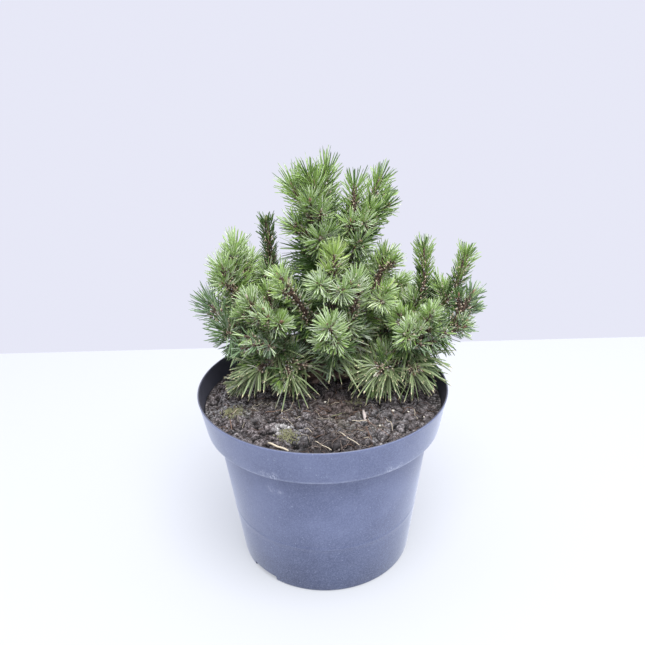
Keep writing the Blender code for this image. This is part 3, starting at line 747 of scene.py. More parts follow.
def soil_height(x, y):
    """The soil's surface: its level, mounds and clefts, clods and grains."""
    radius = math.hypot(x, y)
    level = soil_level(radius)
    z = level - 0.0004
    for cx, cy, size, height in LUMPS:
        z += height * math.exp(-((x - cx) ** 2 + (y - cy) ** 2) / (size * size))
    here = Vector((x, y, 0))
    warped = here + noise.noise_vector(here * WANDER_FINENESS) * WANDER_REACH
    for fineness, height in CLODS:
        nearest = noise.voronoi(warped * fineness)[0]
        z += height * (min(nearest[1] - nearest[0], 0.4) - 0.2)
    z += 0.0034 * noise.fractal(here * 60, 0.75, 2.1, 5)
    z += 0.0007 * noise.noise(here * 700)
    fade = min(1.0, max(0.0, (SOIL_RADIUS - radius) / 0.004))
    return level + (z - level) * (0.3 + 0.7 * fade)


def disc_grid(steps, radius):
    """A square grid mapped onto a disc."""
    axis = np.linspace(-1, 1, steps)
    u, v = np.meshgrid(axis, axis, indexing="ij")
    wide = np.abs(u) > np.abs(v)
    r = np.where(wide, u, v)
    with np.errstate(divide="ignore", invalid="ignore"):
        turn = np.where(wide, math.pi / 4 * v / u, math.pi / 2 - math.pi / 4 * u / v)
    turn = np.nan_to_num(turn)
    return r * np.cos(turn) * radius, r * np.sin(turn) * radius


def build_soil():
    """The soil's surface with its relief, on a plain body that fills the pot."""
    noise.seed_set(WANDER_SEED)
    xs, ys = disc_grid(SOIL_STEPS, SOIL_RADIUS)
    zs = np.array([soil_height(x, y) for x, y in zip(xs.ravel(), ys.ravel())]).reshape(xs.shape)
    surface = np.stack([xs, ys, zs], -1)
    k = np.arange(zs.size).reshape(zs.shape)
    pile = Pile()
    pile.add(surface, np.stack([k[:-1, :-1], k[1:, :-1], k[1:, 1:], k[:-1, 1:]], -1))
    rim = np.concatenate([k[:, 0], k[-1, 1:], k[-2::-1, -1], k[0, -2:0:-1]])
    top = surface.reshape(-1, 3)[rim]
    bottom = BASE_SLAB + 0.0004
    levels = ((0.968, COLLAR_FOOT + 0.003), (0.890, COLLAR_FOOT - 0.001), (0.735, bottom))
    rings = [top, *(top * (share, share, 0) + (0, 0, height) for share, height in levels)]
    count = len(rim)
    i = np.arange(count)
    last = (len(rings) - 1) * count
    fan = np.stack([np.full(count, last + count), last + (i + 1) % count, last + i], -1)
    body = np.concatenate([*rings, [[0, 0, bottom]]])
    pile.add(body, ring_quads(len(rings), count)[:, [0, 3, 2, 1]], fan)
    soil = pile.to_object("soil_surface", [soil_material()])
    # How raised each place is, for the painted shade in the clefts
    mean = sum(np.roll(zs, (i, j), (0, 1)) for i in BLUR for j in BLUR) / len(BLUR) ** 2
    raised = np.clip((zs - mean + RAISED_LOW) / (RAISED_LOW + RAISED_HIGH), 0, 1)
    values = np.concatenate([raised.ravel(), np.zeros(len(body))]).astype(np.float32)
    soil.data.attributes.new("raised", "FLOAT", "POINT").data.foreach_set("value", values)
    soil.modifiers.new("merge", "WELD").merge_threshold = 0.00001
    apply_modifiers(soil)
    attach(soil, "root")
    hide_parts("soil")


# Litter on the soil

LITTER = {
    "crumb": (0.040, 0.031, 0.028), "crumb_grey": (0.100, 0.090, 0.086), "crumb_pale": (0.24, 0.23, 0.225),
    "straw": (0.48, 0.42, 0.32), "wood": (0.15, 0.095, 0.070), "moss": (0.170, 0.170, 0.095),
    "speck": (0.62, 0.58, 0.50), "chip": (0.44, 0.38, 0.35), "root": (0.24, 0.17, 0.14),
    "hair": (0.21, 0.170, 0.145),
}
LITTER_SEED = 71
CRUMBS = 3400
FIBRES = 240
HAIRS = 90
# Straws, roots and bits of wood: start, bearing, length, radius, kind
STICKS = (
    ((-0.0465, -0.0770), -35, 0.021, 0.0010, "straw"),
    ((-0.0074, -0.0770), -45, 0.019, 0.0004, "straw"),
    ((0.0130, -0.0672), -52, 0.026, 0.0004, "straw"),
    ((0.0370, -0.0500), -55, 0.030, 0.0003, "root"),
    ((0.0248, -0.0503), -3, 0.013, 0.0004, "straw"),
    ((0.0363, -0.0605), -81, 0.022, 0.0004, "wood"),
    ((-0.0827, -0.0383), -78, 0.017, 0.0005, "wood"),
    ((0.0068, -0.0411), 26, 0.014, 0.0004, "moss"),
    ((-0.0520, -0.0300), 12, 0.016, 0.0004, "wood"),
    ((0.0600, 0.0700), 130, 0.020, 0.0006, "straw"),
    ((-0.0200, 0.0850), 20, 0.024, 0.0006, "wood"),
    ((-0.0800, 0.0300), 75, 0.018, 0.0005, "straw"),
)
SPECKS = (
    (0.0751, -0.0378), (0.0018, -0.0130), (0.0485, -0.0579), (0.0622, -0.0337), (0.0889, -0.0402),
    (-0.0100, 0.0800), (-0.0600, 0.0700), (0.0300, 0.0900), (-0.0300, -0.0620), (0.0840, 0.0300),
)
# Moss: (x, y, size, count)
MOSS = (
    (-0.0815, -0.0260, 0.009, 150), (-0.0300, -0.0715, 0.009, 130), (0.0500, 0.0760, 0.010, 110),
    (-0.0560, 0.0760, 0.009, 90), (0.0300, -0.0140, 0.008, 50),
)
# Points of a fibre or a stick
STICK_POINTS = 7
# The wood chip: where it stands, its bearing and lean, and its half widths by how far up it they are
CHIP = (0.0375, -0.0480)
CHIP_HEADING = (100, 62)
CHIP_HALF_THICK = 0.0006
CHIP_WIDTHS = ((0, 0.0010), (0.004, 0.0019), (0.009, 0.0017), (0.0125, 0.0009))
CLOD_SIDES = 5


def clod(rng, size, squash):
    """A small uneven lump as vertices and triangles."""
    verts = [(0, 0, -1)]
    for height in (1, 2):
        a = math.pi * height / 3
        for j in range(CLOD_SIDES):
            turn = 2 * math.pi * j / CLOD_SIDES
            verts.append((math.sin(a) * math.cos(turn), math.sin(a) * math.sin(turn), -math.cos(a)))
    verts = np.array([*verts, (0, 0, 1)])
    verts *= 1 + np.array([rng.uniform(-0.35, 0.3) for _ in verts])[:, None]
    tris = []
    for j in range(CLOD_SIDES):
        n = (j + 1) % CLOD_SIDES
        a, b, c, d = 1 + j, 1 + n, 1 + CLOD_SIDES + n, 1 + CLOD_SIDES + j
        tris += [(0, b, a), (a, b, c), (a, c, d), (len(verts) - 1, d, c)]
    turn = Matrix.Rotation(rng.uniform(0, 6.28), 3, "Z") @ Matrix.Rotation(rng.uniform(-0.6, 0.6), 3, "X")
    return (verts * (size, size * rng.uniform(0.6, 1), size * squash)) @ np.array(turn).T, tris


def fibre(rng, start, bearing, length, radius, curl, lift):
    """A thin root or straw that lies on the soil: its points and radii."""
    x, y = start
    turn = math.radians(bearing)
    points, radii = [], []
    for i in range(STICK_POINTS):
        share = i / (STICK_POINTS - 1)
        z = soil_height(x, y) + lift + radius + 0.0012 * math.sin(math.pi * share) * rng.uniform(0.2, 1)
        points.append(Vector((x, y, z)))
        radii.append(radius * (0.6 + 0.4 * math.sin(math.pi * (0.15 + 0.7 * i / (STICK_POINTS - 1)))))
        turn += rng.uniform(-curl, curl)
        x += math.cos(turn) * length / (STICK_POINTS - 1)
        y += math.sin(turn) * length / (STICK_POINTS - 1)
    return points, radii


def stick(start, bearing, length, radius):
    """A straight straw or twig that rests on the soil's highest places below it."""
    way = heading(bearing, 90)
    path = [Vector((*start, 0)) + way * length * i / (STICK_POINTS - 1) for i in range(STICK_POINTS)]
    top = max(soil_height(p.x, p.y) for p in path)
    for i, place in enumerate(path):
        place.z = top + radius * 0.6 + 0.0004 * math.sin(i * 1.7)
    return path, [radius * (0.75 + 0.25 * math.sin(0.6 + i * 0.4)) for i in range(STICK_POINTS)]


def spot(rng, low, high):
    """A random place on the soil between two radii."""
    turn = rng.uniform(0, 2 * math.pi)
    radius = math.sqrt(rng.uniform(low**2, high**2))
    return radius * math.cos(turn), radius * math.sin(turn)


def build_litter():
    """Crumbs, fibres, straws, a wood chip, pale specks and moss on the soil."""
    rng = random.Random(LITTER_SEED)
    pile = Pile()

    def drop(kind, verts, quads, tris):
        pile.add(verts, quads, tris, list(LITTER).index(kind))

    def drop_clod(kind, x, y, size, squash, lift):
        verts, tris = clod(rng, size, squash)
        drop(kind, verts + (x, y, soil_height(x, y) + lift), (), tris)

    def drop_fibre(kind, start, lengths, widths, curl, lift, sides):
        points, radii = fibre(
            rng, start, rng.uniform(0, 360), rng.uniform(*lengths), rng.uniform(*widths), curl, lift,
        )
        if max(math.hypot(p.x, p.y) for p in points) < SOIL_RADIUS - 0.002:
            drop(kind, *tube_arrays(points, radii, sides))

    for _ in range(CRUMBS):
        x, y = spot(rng, 0.004, SOIL_RADIUS - 0.003)
        size = 0.0004 + 0.0016 * rng.random() ** 4
        kind = "crumb" if rng.random() < 0.75 else "crumb_grey" if rng.random() < 0.96 else "crumb_pale"
        drop_clod(kind, x, y, size, 0.7, size * 0.25)
    for _ in range(FIBRES):
        kind = "straw" if rng.random() < 0.25 else "wood"
        drop_fibre(kind, spot(rng, 0.01, 0.100), (0.005, 0.016), (0.00012, 0.00028), 0.5, 0.0004, 4)
    for _ in range(HAIRS):
        start = (rng.uniform(-0.010, 0.062), rng.uniform(-0.088, -0.048))
        drop_fibre("hair", start, (0.006, 0.016), (0.00012, 0.00022), 0.6, 0.0008, 3)
    for start, bearing, length, radius, kind in STICKS:
        drop(kind, *tube_arrays(*stick(start, bearing, length, radius), 6))
    for x, y in SPECKS:
        drop_clod("speck", x, y, rng.uniform(0.0010, 0.0017), 0.8, 0.0008)
    for cx, cy, size, count in MOSS:
        for _ in range(count):
            x, y = rng.gauss(cx, size / 2), rng.gauss(cy, size / 2)
            foot = Vector((x, y, soil_height(x, y) - 0.0004))
            way = heading(rng.uniform(0, 360), rng.uniform(0, 50))
            points = [foot + way * s for s in (0, 0.0009, rng.uniform(0.0016, 0.0026))]
            drop("moss", *tube_arrays(points, [0.0006, 0.0006, 0.0001], 4))
    foot = Vector((*CHIP, soil_height(*CHIP) - 0.001))
    way = heading(*CHIP_HEADING)
    side = Vector((1, 0.15, 0)).normalized()
    up = way.cross(side).normalized() * CHIP_HALF_THICK
    chip = []
    for along, half in CHIP_WIDTHS:
        here = foot + way * along
        chip += [here + side * half, here + up, here - side * half, here - up]
    drop("chip", to_array(chip), [*ring_quads(4, 4), (3, 2, 1, 0), (12, 13, 14, 15)], ())
    mats = [plain("litter_" + name, colour, 0.9, 0.2) for name, colour in LITTER.items()]
    litter = pile.to_object("soil_litter", mats)
    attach(litter, "root")


# Bark

BARK_STEP = 0.0011


def bark_material():
    """Reddish brown scaly bark with grey plates."""
    mat = plain("bark", (0.15, 0.09, 0.06), 0.85, 0.3)
    n = Nodes(mat)
    plates = n.noise(330, 5, 0.7, n.stretched((1, 1, 0.45)))
    brown = n.ramp(
        plates, (0.34, (0.026, 0.018, 0.015)), (0.52, (0.105, 0.066, 0.050)), (0.70, (0.30, 0.22, 0.18)),
    )
    patch = n.ramp(n.noise(70, 3), (0.50, 0.0), (0.66, 0.55))
    put(n.shader, {"Base Color": n.mix(patch, brown, (0.25, 0.20, 0.18))})
    n.bump(plates, 0.8, 0.0008)
    return mat


def twig_material():
    """Young bark: dark purplish brown scales with pale edges."""
    mat = plain("young_bark", (0.10, 0.055, 0.04), 0.65, 0.4)
    n = Nodes(mat)
    scales = n.noise(1000, 4, 0.75)
    brown = n.ramp(
        scales, (0.38, (0.018, 0.012, 0.010)), (0.52, (0.080, 0.047, 0.034)), (0.66, (0.38, 0.29, 0.22)),
    )
    put(n.shader, {"Base Color": brown})
    n.bump(scales, 0.7, 0.0005)
    return mat


def limb_relief(length, radius, flare, seed):
    """Scaly ridges along a limb, stronger where it is thick, and lobes at a flared foot."""

    def relief(ring, turn):
        scale = np.ones((len(ring), turn.size))
        for i, j in np.ndindex(scale.shape):
            along = i / (len(ring) - 1) * length
            a = turn[0, j]
            here = Vector((math.cos(a) * radius * 260, math.sin(a) * radius * 260, along * 190 + seed))
            ridge = noise.fractal(here, 0.9, 2.0, 4)
            plate = noise.voronoi(here * 1.4)[0]
            lobe = flare * 0.16 * math.cos(5 * a + seed) * math.exp(-along / 0.008)
            scale[i, j] = 1 + 0.11 * ridge + 0.13 * (plate[0] - 0.4) + lobe
        return scale

    return relief


def build_bark(limbs):
    """A mesh with the bark's relief, in place of the trunk and the boughs."""
    pile = Pile()
    for number, (name, limb) in enumerate(limbs.items()):
        length = limb.length()
        fine = limb.smooth(max(8, round(length / BARK_STEP)))
        sides, flare = (36, 1) if name == "trunk" else (18, 0)
        relief = limb_relief(length, limb.radii[0], flare, number * 7.3)
        pile.add(*tube_arrays(fine.points, [r * 0.97 for r in fine.radii], sides, relief))
    bark = pile.to_object("bark_relief", [bark_material()])
    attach(bark, "root")
    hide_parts(*limbs)


# Needles

# Colours of the broad sides, of the narrow pale side, and of the end
TONES = {
    "fresh": ((0.415, 0.560, 0.170), (0.65, 0.73, 0.48), (0.42, 0.53, 0.19)),
    "frosty": ((0.345, 0.455, 0.215), (0.63, 0.70, 0.56), (0.34, 0.43, 0.22)),
    "bright": ((0.285, 0.410, 0.145), (0.53, 0.62, 0.42), (0.29, 0.38, 0.15)),
    "mid": ((0.220, 0.340, 0.085), (0.45, 0.54, 0.35), (0.20, 0.28, 0.09)),
    "cool": ((0.134, 0.215, 0.100), (0.34, 0.42, 0.31), (0.14, 0.21, 0.10)),
    "deep": ((0.070, 0.130, 0.034), (0.17, 0.24, 0.13), (0.06, 0.10, 0.03)),
    "olive": ((0.200, 0.255, 0.120), (0.57, 0.60, 0.47), (0.50, 0.45, 0.27)),
    "dry": ((0.130, 0.090, 0.058), (0.27, 0.22, 0.16), (0.20, 0.14, 0.09)),
}
# The lighter and the darker tone of each, for painted light and painted shade on the needles, and for some
# variety
LIGHTER = {
    "fresh": "frosty", "frosty": "frosty", "bright": "frosty", "mid": "bright",
    "cool": "frosty", "deep": "mid", "olive": "olive", "dry": "dry",
}
DARKER = {
    "fresh": "bright", "frosty": "bright", "bright": "mid", "mid": "deep",
    "cool": "deep", "deep": "deep", "olive": "deep", "dry": "dry",
}
BUDS = {
    "rosy": (0.24, 0.135, 0.100), "amber": (0.33, 0.210, 0.120), "pale": (0.44, 0.390, 0.330),
    "green": (0.27, 0.280, 0.130),
}
# Colours of the sheaths and scales along the shoots, and how often each comes
SCALES = {"brown": (0.110, 0.062, 0.040), "cream": (0.56, 0.46, 0.34), "grey": (0.47, 0.48, 0.46)}
SCALE_ODDS = (20, 56, 24)

# A needle: where along it its rings are, how wide they are, its section and its twist
STATIONS = np.array([0, 0.45, 0.92, 1.0])
WIDTH_SHARES = np.array([0.5, 1.0, 0.70])
CROSS = ((1, -0.3), (0.35, 0.6), (-1, -0.3))
NEEDLE_TWIST = 1.1
SHEATH_LENGTH = (0.0024, 0.0036)
SHEATH_WIDTH = 0.0016
SHEATH_SUNK = 0.0006
# How far needles stay off the soil and the rim
SOIL_ROOM = 0.0012
SOIL_LIFT = 0.0016
RIM_OVER = 0.0015
RIM_BESIDE = 0.0045
STEM_STEP = 0.0012
STUB_STEP = 0.00054
STUB_LENGTH = (0.0036, 0.0054)
STUB_WIDTH = (0.0012, 0.0019)
STUB_LEAN = (32, 56)
STUBBED_SHARE = 0.85
BUD_SHARES = (-0.10, 0.10, 0.35, 0.62, 0.85, 1.0)
BUD_WIDTHS = (0.13, 0.22, 0.24, 0.19, 0.11, 0.015)
BUD_SIZE = 0.0052
TWIG_BUD = 0.0045
SIDE_BUD = 0.0042
SMALL_BUD = 0.004
# Where a shoot is opened, so that its bark shows: up to a share of its length, and on its lower front
OPENED_SHARE = 0.75
OPENED_SIDE = 0.5
FRONT = Vector((0, -0.92, 0.40))


class Style(NamedTuple):
    """How a shoot carries its needles. Opened is how many are missing on the lower front. Shade is how many
    low on it take a darker tone, painted shade, and lights how many near its tip take a lighter one, painted
    light.
    """

    tone: str
    length: float
    spacing: float = 0.00065
    bare: float = 0.04
    lean_foot: float = 80
    lean_tip: float = 46
    curl: float = 0.22
    mess: float = 18
    crown: int = 9
    crown_length: float = 1.0
    crown_share: float = 1.0
    droop: float = 0.0
    width: float = 0.00118
    thin: float = 1.5
    stem: float = 0.85
    opened: float = 0.0
    foot_size: float = 0.86
    light: str = ""
    lights: float = 0.28
    shade: float = 0.42
    bud: str = "rosy"
    sides: int = 4

    def lighter(self):
        return self.light or LIGHTER[self.tone]

    def lean(self, share):
        return self.lean_foot + (self.lean_tip - self.lean_foot) * share

    def pick_tone(self, share, rng):
        """Needles low on a shoot are often darker, both older and painted shade, and some of those near its
        tip are lighter, painted light.
        """
        draw = rng.random()
        if share < 0.35:
            return "dry" if draw < 0.03 else "deep" if draw < self.shade else DARKER[self.tone]
        if share < 0.60:
            return DARKER[self.tone] if draw < self.shade else self.tone
        return self.lighter() if draw < self.lights else self.tone


def needle_arrays(rows):
    """Closed curved needles, three-sided and blunt: foot, way, bend, length, width and roll in each row."""
    rows = np.asarray(rows, float)[:, None]
    foot, way, bend = rows[..., 0:3], rows[..., 3:6], rows[..., 6:9]
    length, width, roll = rows[..., 9], rows[..., 10], rows[..., 11]
    side = np.cross(way, bend + (1e-4, 2e-4, 3e-4))
    side /= np.linalg.norm(side, axis=2)[..., None]
    up = np.cross(side, way)
    centres = foot + way * (length * STATIONS)[..., None] + bend * (length * STATIONS**2)[..., None]
    half = (width / 2 * WIDTH_SHARES)[..., None]
    turn = (roll + NEEDLE_TWIST * STATIONS[:3])[..., None]
    a = side * np.cos(turn) + up * np.sin(turn)
    b = up * np.cos(turn) - side * np.sin(turn)
    rings = np.stack([centres[:, :3] + (a * out + b * rise) * half for out, rise in CROSS], 2)
    verts = np.concatenate([rings.reshape(-1, 9, 3), centres[:, 3:]], 1)
    base = (np.arange(len(rows)) * 10)[:, None, None]
    tris = base + np.array([(0, 2, 1), (9, 6, 7), (9, 7, 8), (9, 8, 6)])
    quad_mats, tri_mats = np.tile([1, 0, 0], 2 * len(rows)), np.tile([0, 2, 2, 2], len(rows))
    return verts, base + ring_quads(3, 3), tris, quad_mats, tri_mats


def sheath_arrays(rows):
    """Small closed cones: foot, way, length, width and colour in each row."""
    rows = np.asarray(rows, float)
    foot, way, length, width = rows[:, 0:3], rows[:, 3:6], rows[:, 6:7], rows[:, 7:8]
    side = np.cross(way, np.array([[0.31, 0.17, 0.93]]))
    side /= np.linalg.norm(side, axis=1)[:, None]
    up = np.cross(side, way)
    corners = (side, up * 0.87 - side * 0.5, -up * 0.87 - side * 0.5)
    verts = np.stack([*(foot + c * width / 2 for c in corners), foot + way * length], 1)
    tris = (np.arange(len(rows)) * 4)[:, None, None] + np.array([(0, 1, 2), (0, 3, 1), (1, 3, 2), (2, 3, 0)])
    return verts, (), tris, 0, np.repeat(rows[:, 8].astype(int), 4)


def settled(row):
    """Turns up a needle whose end would be in the soil. None where the pot is in its way."""
    foot, way, bend, length = row[0:3], row[3:6], row[6:9], row[9]
    for _ in range(8):
        points = []
        for s in (0.4, 0.7, 1.0):
            points.append([foot[i] + way[i] * length * s + bend[i] * length * s * s for i in range(3)])
        low = min(z - soil_level(math.hypot(x, y)) for x, y, z in points)
        if low > SOIL_ROOM:
            break
        way[2] += (SOIL_LIFT - low) / length
        size = math.sqrt(sum(v * v for v in way))
        way = [v / size for v in way]
    else:
        return None
    if any(z < POT_HEIGHT + RIM_OVER and math.hypot(x, y) > RIM_RADIUS - RIM_BESIDE for x, y, z in points):
        return None
    row[3:6] = way
    return row


def scale_relief(ring, turn):
    """Low scales in crossing spirals on a young shoot."""
    crossing = np.maximum(np.cos(3 * turn + ring * 2.3), np.cos(5 * turn - ring * 1.6))
    return 1 + 0.16 * crossing + 0.04 * np.cos(ring * 2.7)


def bud_relief(ring, turn):
    return 1 + 0.14 * np.cos(3 * turn + ring * 2.1)


class Foliage:
    """Needles, sheaths, young stems and buds, collected from every spray."""

    def __init__(self):
        self.needles = {tone: [] for tone in TONES}
        self.masses = {tone: set() for tone in TONES}
        self.sheaths = []
        self.stems = Pile()
        self.buds = Pile()
        self.rng = random.Random()
        self.draw = self.rng.uniform

    def add_sheath(self, foot, way, length, width):
        self.sheaths.append([*foot, *way, length, width, self.rng.choices(range(len(SCALES)), SCALE_ODDS)[0]])

    def add_pair(self, place, radius, direction, turn, lean, style, length, share=0.7):
        """One pair of needles with the brown sheath at its foot."""
        draw = self.draw
        out = across(direction, turn)
        a = math.radians(lean)
        way = (direction * math.cos(a) + out * math.sin(a)).normalized()
        root = place + out * radius * 0.75
        spread = across(way, draw(0, 180)) * math.radians(draw(4, 15))
        tone = style.pick_tone(share, self.rng)
        for sign in (1, -1):
            needle = (way + spread * sign).normalized()
            bend = (direction - way * direction.dot(way)) * style.curl * draw(0.3, 1.7)
            bend += spread * sign * draw(-0.8, 0.3)
            bend += across(way, draw(0, 360)) * draw(0, 0.09)
            bend.z -= style.droop * draw(0.5, 1.3)
            size = length * draw(0.84, 1.08)
            row = settled([*root, *needle, *bend, size, style.width * draw(0.85, 1.12), draw(-1.2, 1.2)])
            if row:
                self.needles[tone].append(row)
        self.add_sheath(root - way * SHEATH_SUNK, way, draw(*SHEATH_LENGTH), SHEATH_WIDTH)

    def add_stem(self, limb, swell, sides=8):
        """The bark of a young shoot, with the blunt pegs of old sheaths that stand out along it."""
        draw = self.draw
        fine = limb.smooth(max(4, round(limb.length() / STEM_STEP)))
        self.stems.add(*tube_arrays(fine.points, [r * swell for r in fine.radii], sides, scale_relief))
        count = round(limb.length() * STUBBED_SHARE / STUB_STEP)
        turn = draw(0, 360)
        for i in range(count):
            place, radius, direction = limb.at(STUBBED_SHARE * (i + 0.5) / count)
            turn += GOLDEN_TURN + draw(-10, 10)
            out = across(direction, turn)
            lean = math.radians(draw(*STUB_LEAN))
            way = direction * math.cos(lean) + out * math.sin(lean)
            root = place + out * radius * swell * 0.9
            reach = draw(*STUB_LENGTH)
            self.add_sheath(root + way * reach, -way, reach, draw(*STUB_WIDTH))

    def add_bud(self, place, direction, kind, size):
        """A bud with overlapping scales, and a small one at its side."""
        for turn, scale, tilt in ((0, 1.0, 0), (self.draw(0, 360), 0.60, 26)):
            side = across(direction, turn)
            way = (direction + side * math.tan(math.radians(tilt))).normalized()
            foot = place + side * (0.0012 if tilt else 0)
            points = [foot + way * (size * scale * s) for s in BUD_SHARES]
            radii = [size * scale * w for w in BUD_WIDTHS]
            pick = list(BUDS).index(kind if self.rng.random() < 0.75 else "pale")
            self.buds.add(*tube_arrays(points, radii, 6, bud_relief), pick)

    def dress(self, limb, style, bud_size=BUD_SIZE):
        """Needles in a spiral along a shoot, a crown of them round its bud, its stem and its bud."""
        draw = self.draw
        count = max(3, round(limb.length() * (1 - style.bare) / style.spacing))
        turn = draw(0, 360)
        for i in range(count):
            share = style.bare + (1 - style.bare) * ((i + 0.5) / count) ** (1 / style.thin)
            turn += GOLDEN_TURN + draw(-12, 12)
            place, radius, direction = limb.at(share)
            to_front = across(direction, turn).dot(FRONT) > OPENED_SIDE
            if to_front and share < OPENED_SHARE and self.rng.random() < style.opened:
                continue
            lean = style.lean(share**1.3) + draw(-style.mess, style.mess)
            size = style.length * (style.foot_size + (1.02 - style.foot_size) * share)
            size *= draw(1 - style.mess / 90, 1)
            self.add_pair(place, radius, direction, turn, lean, style, size, share)
        place, radius, direction = limb.at(1)
        for i in range(style.crown):
            turn += GOLDEN_TURN
            lean = 8 + 42 * ((i * 0.618) % 1) + draw(-6, 6)
            back = direction * draw(0, 0.003)
            size = style.length * style.crown_length * draw(0.88, 1.0)
            self.add_pair(place - back, radius * 0.8, direction, turn, lean, style, size, style.crown_share)
        self.add_stem(limb, style.stem)
        self.add_bud(limb.points[-1], direction, style.bud, bud_size)

    def keep_old(self, limb, first, last, style, spacing):
        """Old needles that stay along a stretch of a limb."""
        count = round(limb.length() * (last - first) / spacing)
        turn = self.draw(0, 360)
        for i in range(count):
            turn += GOLDEN_TURN + self.draw(-15, 15)
            place, radius, direction = limb.at(first + (last - first) * (i + 0.5) / count)
            lean = style.lean(i / count) + self.draw(-10, 10)
            self.add_pair(place, radius, direction, turn, lean, style, style.length)

    def sweep(self, limb, first, last, bearings, leans, pairs, style):
        """Old needles on a stretch of a limb, all to one side."""
        for i in range(pairs):
            place, radius, _ = limb.at(first + (last - first) * (i + 0.5) / pairs)
            out = heading(self.draw(*bearings), self.draw(*leans))
            size = style.length * self.draw(0.72, 1)
            self.add_pair(place + out * radius * 0.5, 0, out, 0, 0, style, size)


# What differs from the common style, by mass. size is the needles' share of the mass's needle length, and
# sides are the finer shoots along each of its shoots.
SPIKE = {
    "sides": 0, "lean_foot": 54, "lean_tip": 44, "spacing": 0.00042, "thin": 1, "stem": 0.85,
    "crown_length": 0.85, "foot_size": 0.70, "mess": 12, "shade": 0.6, "lights": 0.2,
}
SKIRT = {
    "size": 0.86, "droop": 0.26, "curl": -0.08, "width": 0.00150, "spacing": 0.0020, "mess": 36, "crown": 3,
    "lean_foot": 92, "sides": 3, "thin": 1.2, "stem": 0.6, "shade": 0.6, "lights": 0.42,
}
TOP = {"sides": 3, "width": 0.00112, "opened": 0.8, "crown_share": 0.5}
STYLES = {
    "needles_top_left": {**TOP, "size": 0.82, "crown_length": 1.22, "shade": 0.36, "lights": 0.2},
    "needles_top_right": {**TOP, "size": 0.78, "crown_length": 1.12, "shade": 0.85, "lights": 0.06},
    "needles_centre": {
        "size": 0.92, "sides": 2, "lean_foot": 70, "lean_tip": 58, "opened": 0.1, "crown": 22,
        "light": "fresh", "spacing": 0.00056, "shade": 0.2, "lights": 0.35,
    },
    "needles_left_spike": {**SPIKE, "size": 0.84, "crown_length": 0.7, "foot_size": 0.60},
    "needles_left_upper": {
        "size": 0.80, "opened": 0.3, "crown_share": 0.55, "spacing": 0.00060, "shade": 0.25, "tone": "bright",
        "light": "bright",
    },
    "needles_left_outer": {
        "size": 0.96, "sides": 3, "spacing": 0.00084, "opened": 0.7, "crown_share": 0.4, "shade": 0.95,
        "lights": 0.08,
    },
    "needles_front_left": {"size": 0.66, "thin": 1.4, "opened": 0.9, "lean_foot": 66, "light": "fresh"},
    "needles_left_front": {"size": 0.62, "sides": 5, "opened": 0.9, "lean_foot": 66},
    "needles_front": {"size": 0.74, "lean_tip": 60, "crown": 16, "sides": 3, "lights": 0.2},
    "needles_front_right": {
        "size": 0.66, "sides": 5, "opened": 0.8, "lean_foot": 66, "shade": 0.55, "lights": 0.4,
    },
    "needles_right_centre": {"size": 0.68, "sides": 3, "opened": 0.7, "light": "fresh"},
    "needles_right_spike": {**SPIKE, "size": 0.86, "crown_share": 0.5},
    "needles_right_tip": {**SPIKE, "size": 0.84, "crown_share": 0.5},
    "needles_right_outer": {
        "size": 0.72, "sides": 3, "opened": 0.9, "lean_foot": 66, "shade": 0.86, "lights": 0.36, "thin": 1.8,
    },
    "needles_right_front": {"size": 0.58, "thin": 2.3, "opened": 0.95, "shade": 0.95, "lights": 0.45},
    "needles_skirt_left": SKIRT,
    "needles_skirt_right": SKIRT,
}
COMMON_SIZE = 0.76
# Shoots that differ from the others of their mass, by mass and number
SHOOTS = {
    ("needles_top_left", 1): {"opened": 1.0, "sides": 2},
    ("needles_left_upper", 1): {"opened": 1.0, "sides": 2},
    ("needles_left_front", 0): {"opened": 1.0, "sides": 2, "lean_foot": 58},
    ("needles_right_front", 1): {"opened": 1.0, "sides": 2},
    ("needles_centre", 1): {"tone": "bright", "light": "frosty"},
    ("needles_left_front", 1): {"tone": "mid", "light": "bright", "sides": 3},
    ("needles_left_front", 2): {"tone": "mid", "light": "bright"},
}
# Low shoots with few needles, by mass and number, so that what is behind them shows
SPARSE = {
    ("needles_top_left", 3): Style("mid", 0.019, spacing=0.0012, crown=6, lean_foot=60, lean_tip=40),
    ("needles_top_left", 5): Style("deep", 0.028, spacing=0.0018, crown=4, lean_foot=60, lean_tip=30, thin=1),
}
SIDE_SEEDS = {"needles_top_left": 40}
SIDE_SHARES = (0.44, 0.62, 0.28, 0.14, 0.78)
SIDE_SPREAD = (0.55, 1.0)
SIDE_LENGTH = (0.28, 0.44)
SIDE_MIN_SHOOT = 0.026
SIDE_RADIUS = 0.002
SIDE_RADII = (0.0022, 0.0020, 0.0017)
SIDE_NEEDLE = 0.82
SPUR_LENGTHS = (0.010, 0.018)
SPUR_STEP = 0.0068
SPUR_RADII = (0.0020, 0.0018, 0.0016)
# What is added to a mass's seed for its needles, and the seed of the boughs' needles
NEEDLE_SEED = 100
BOUGH_SEED = 401

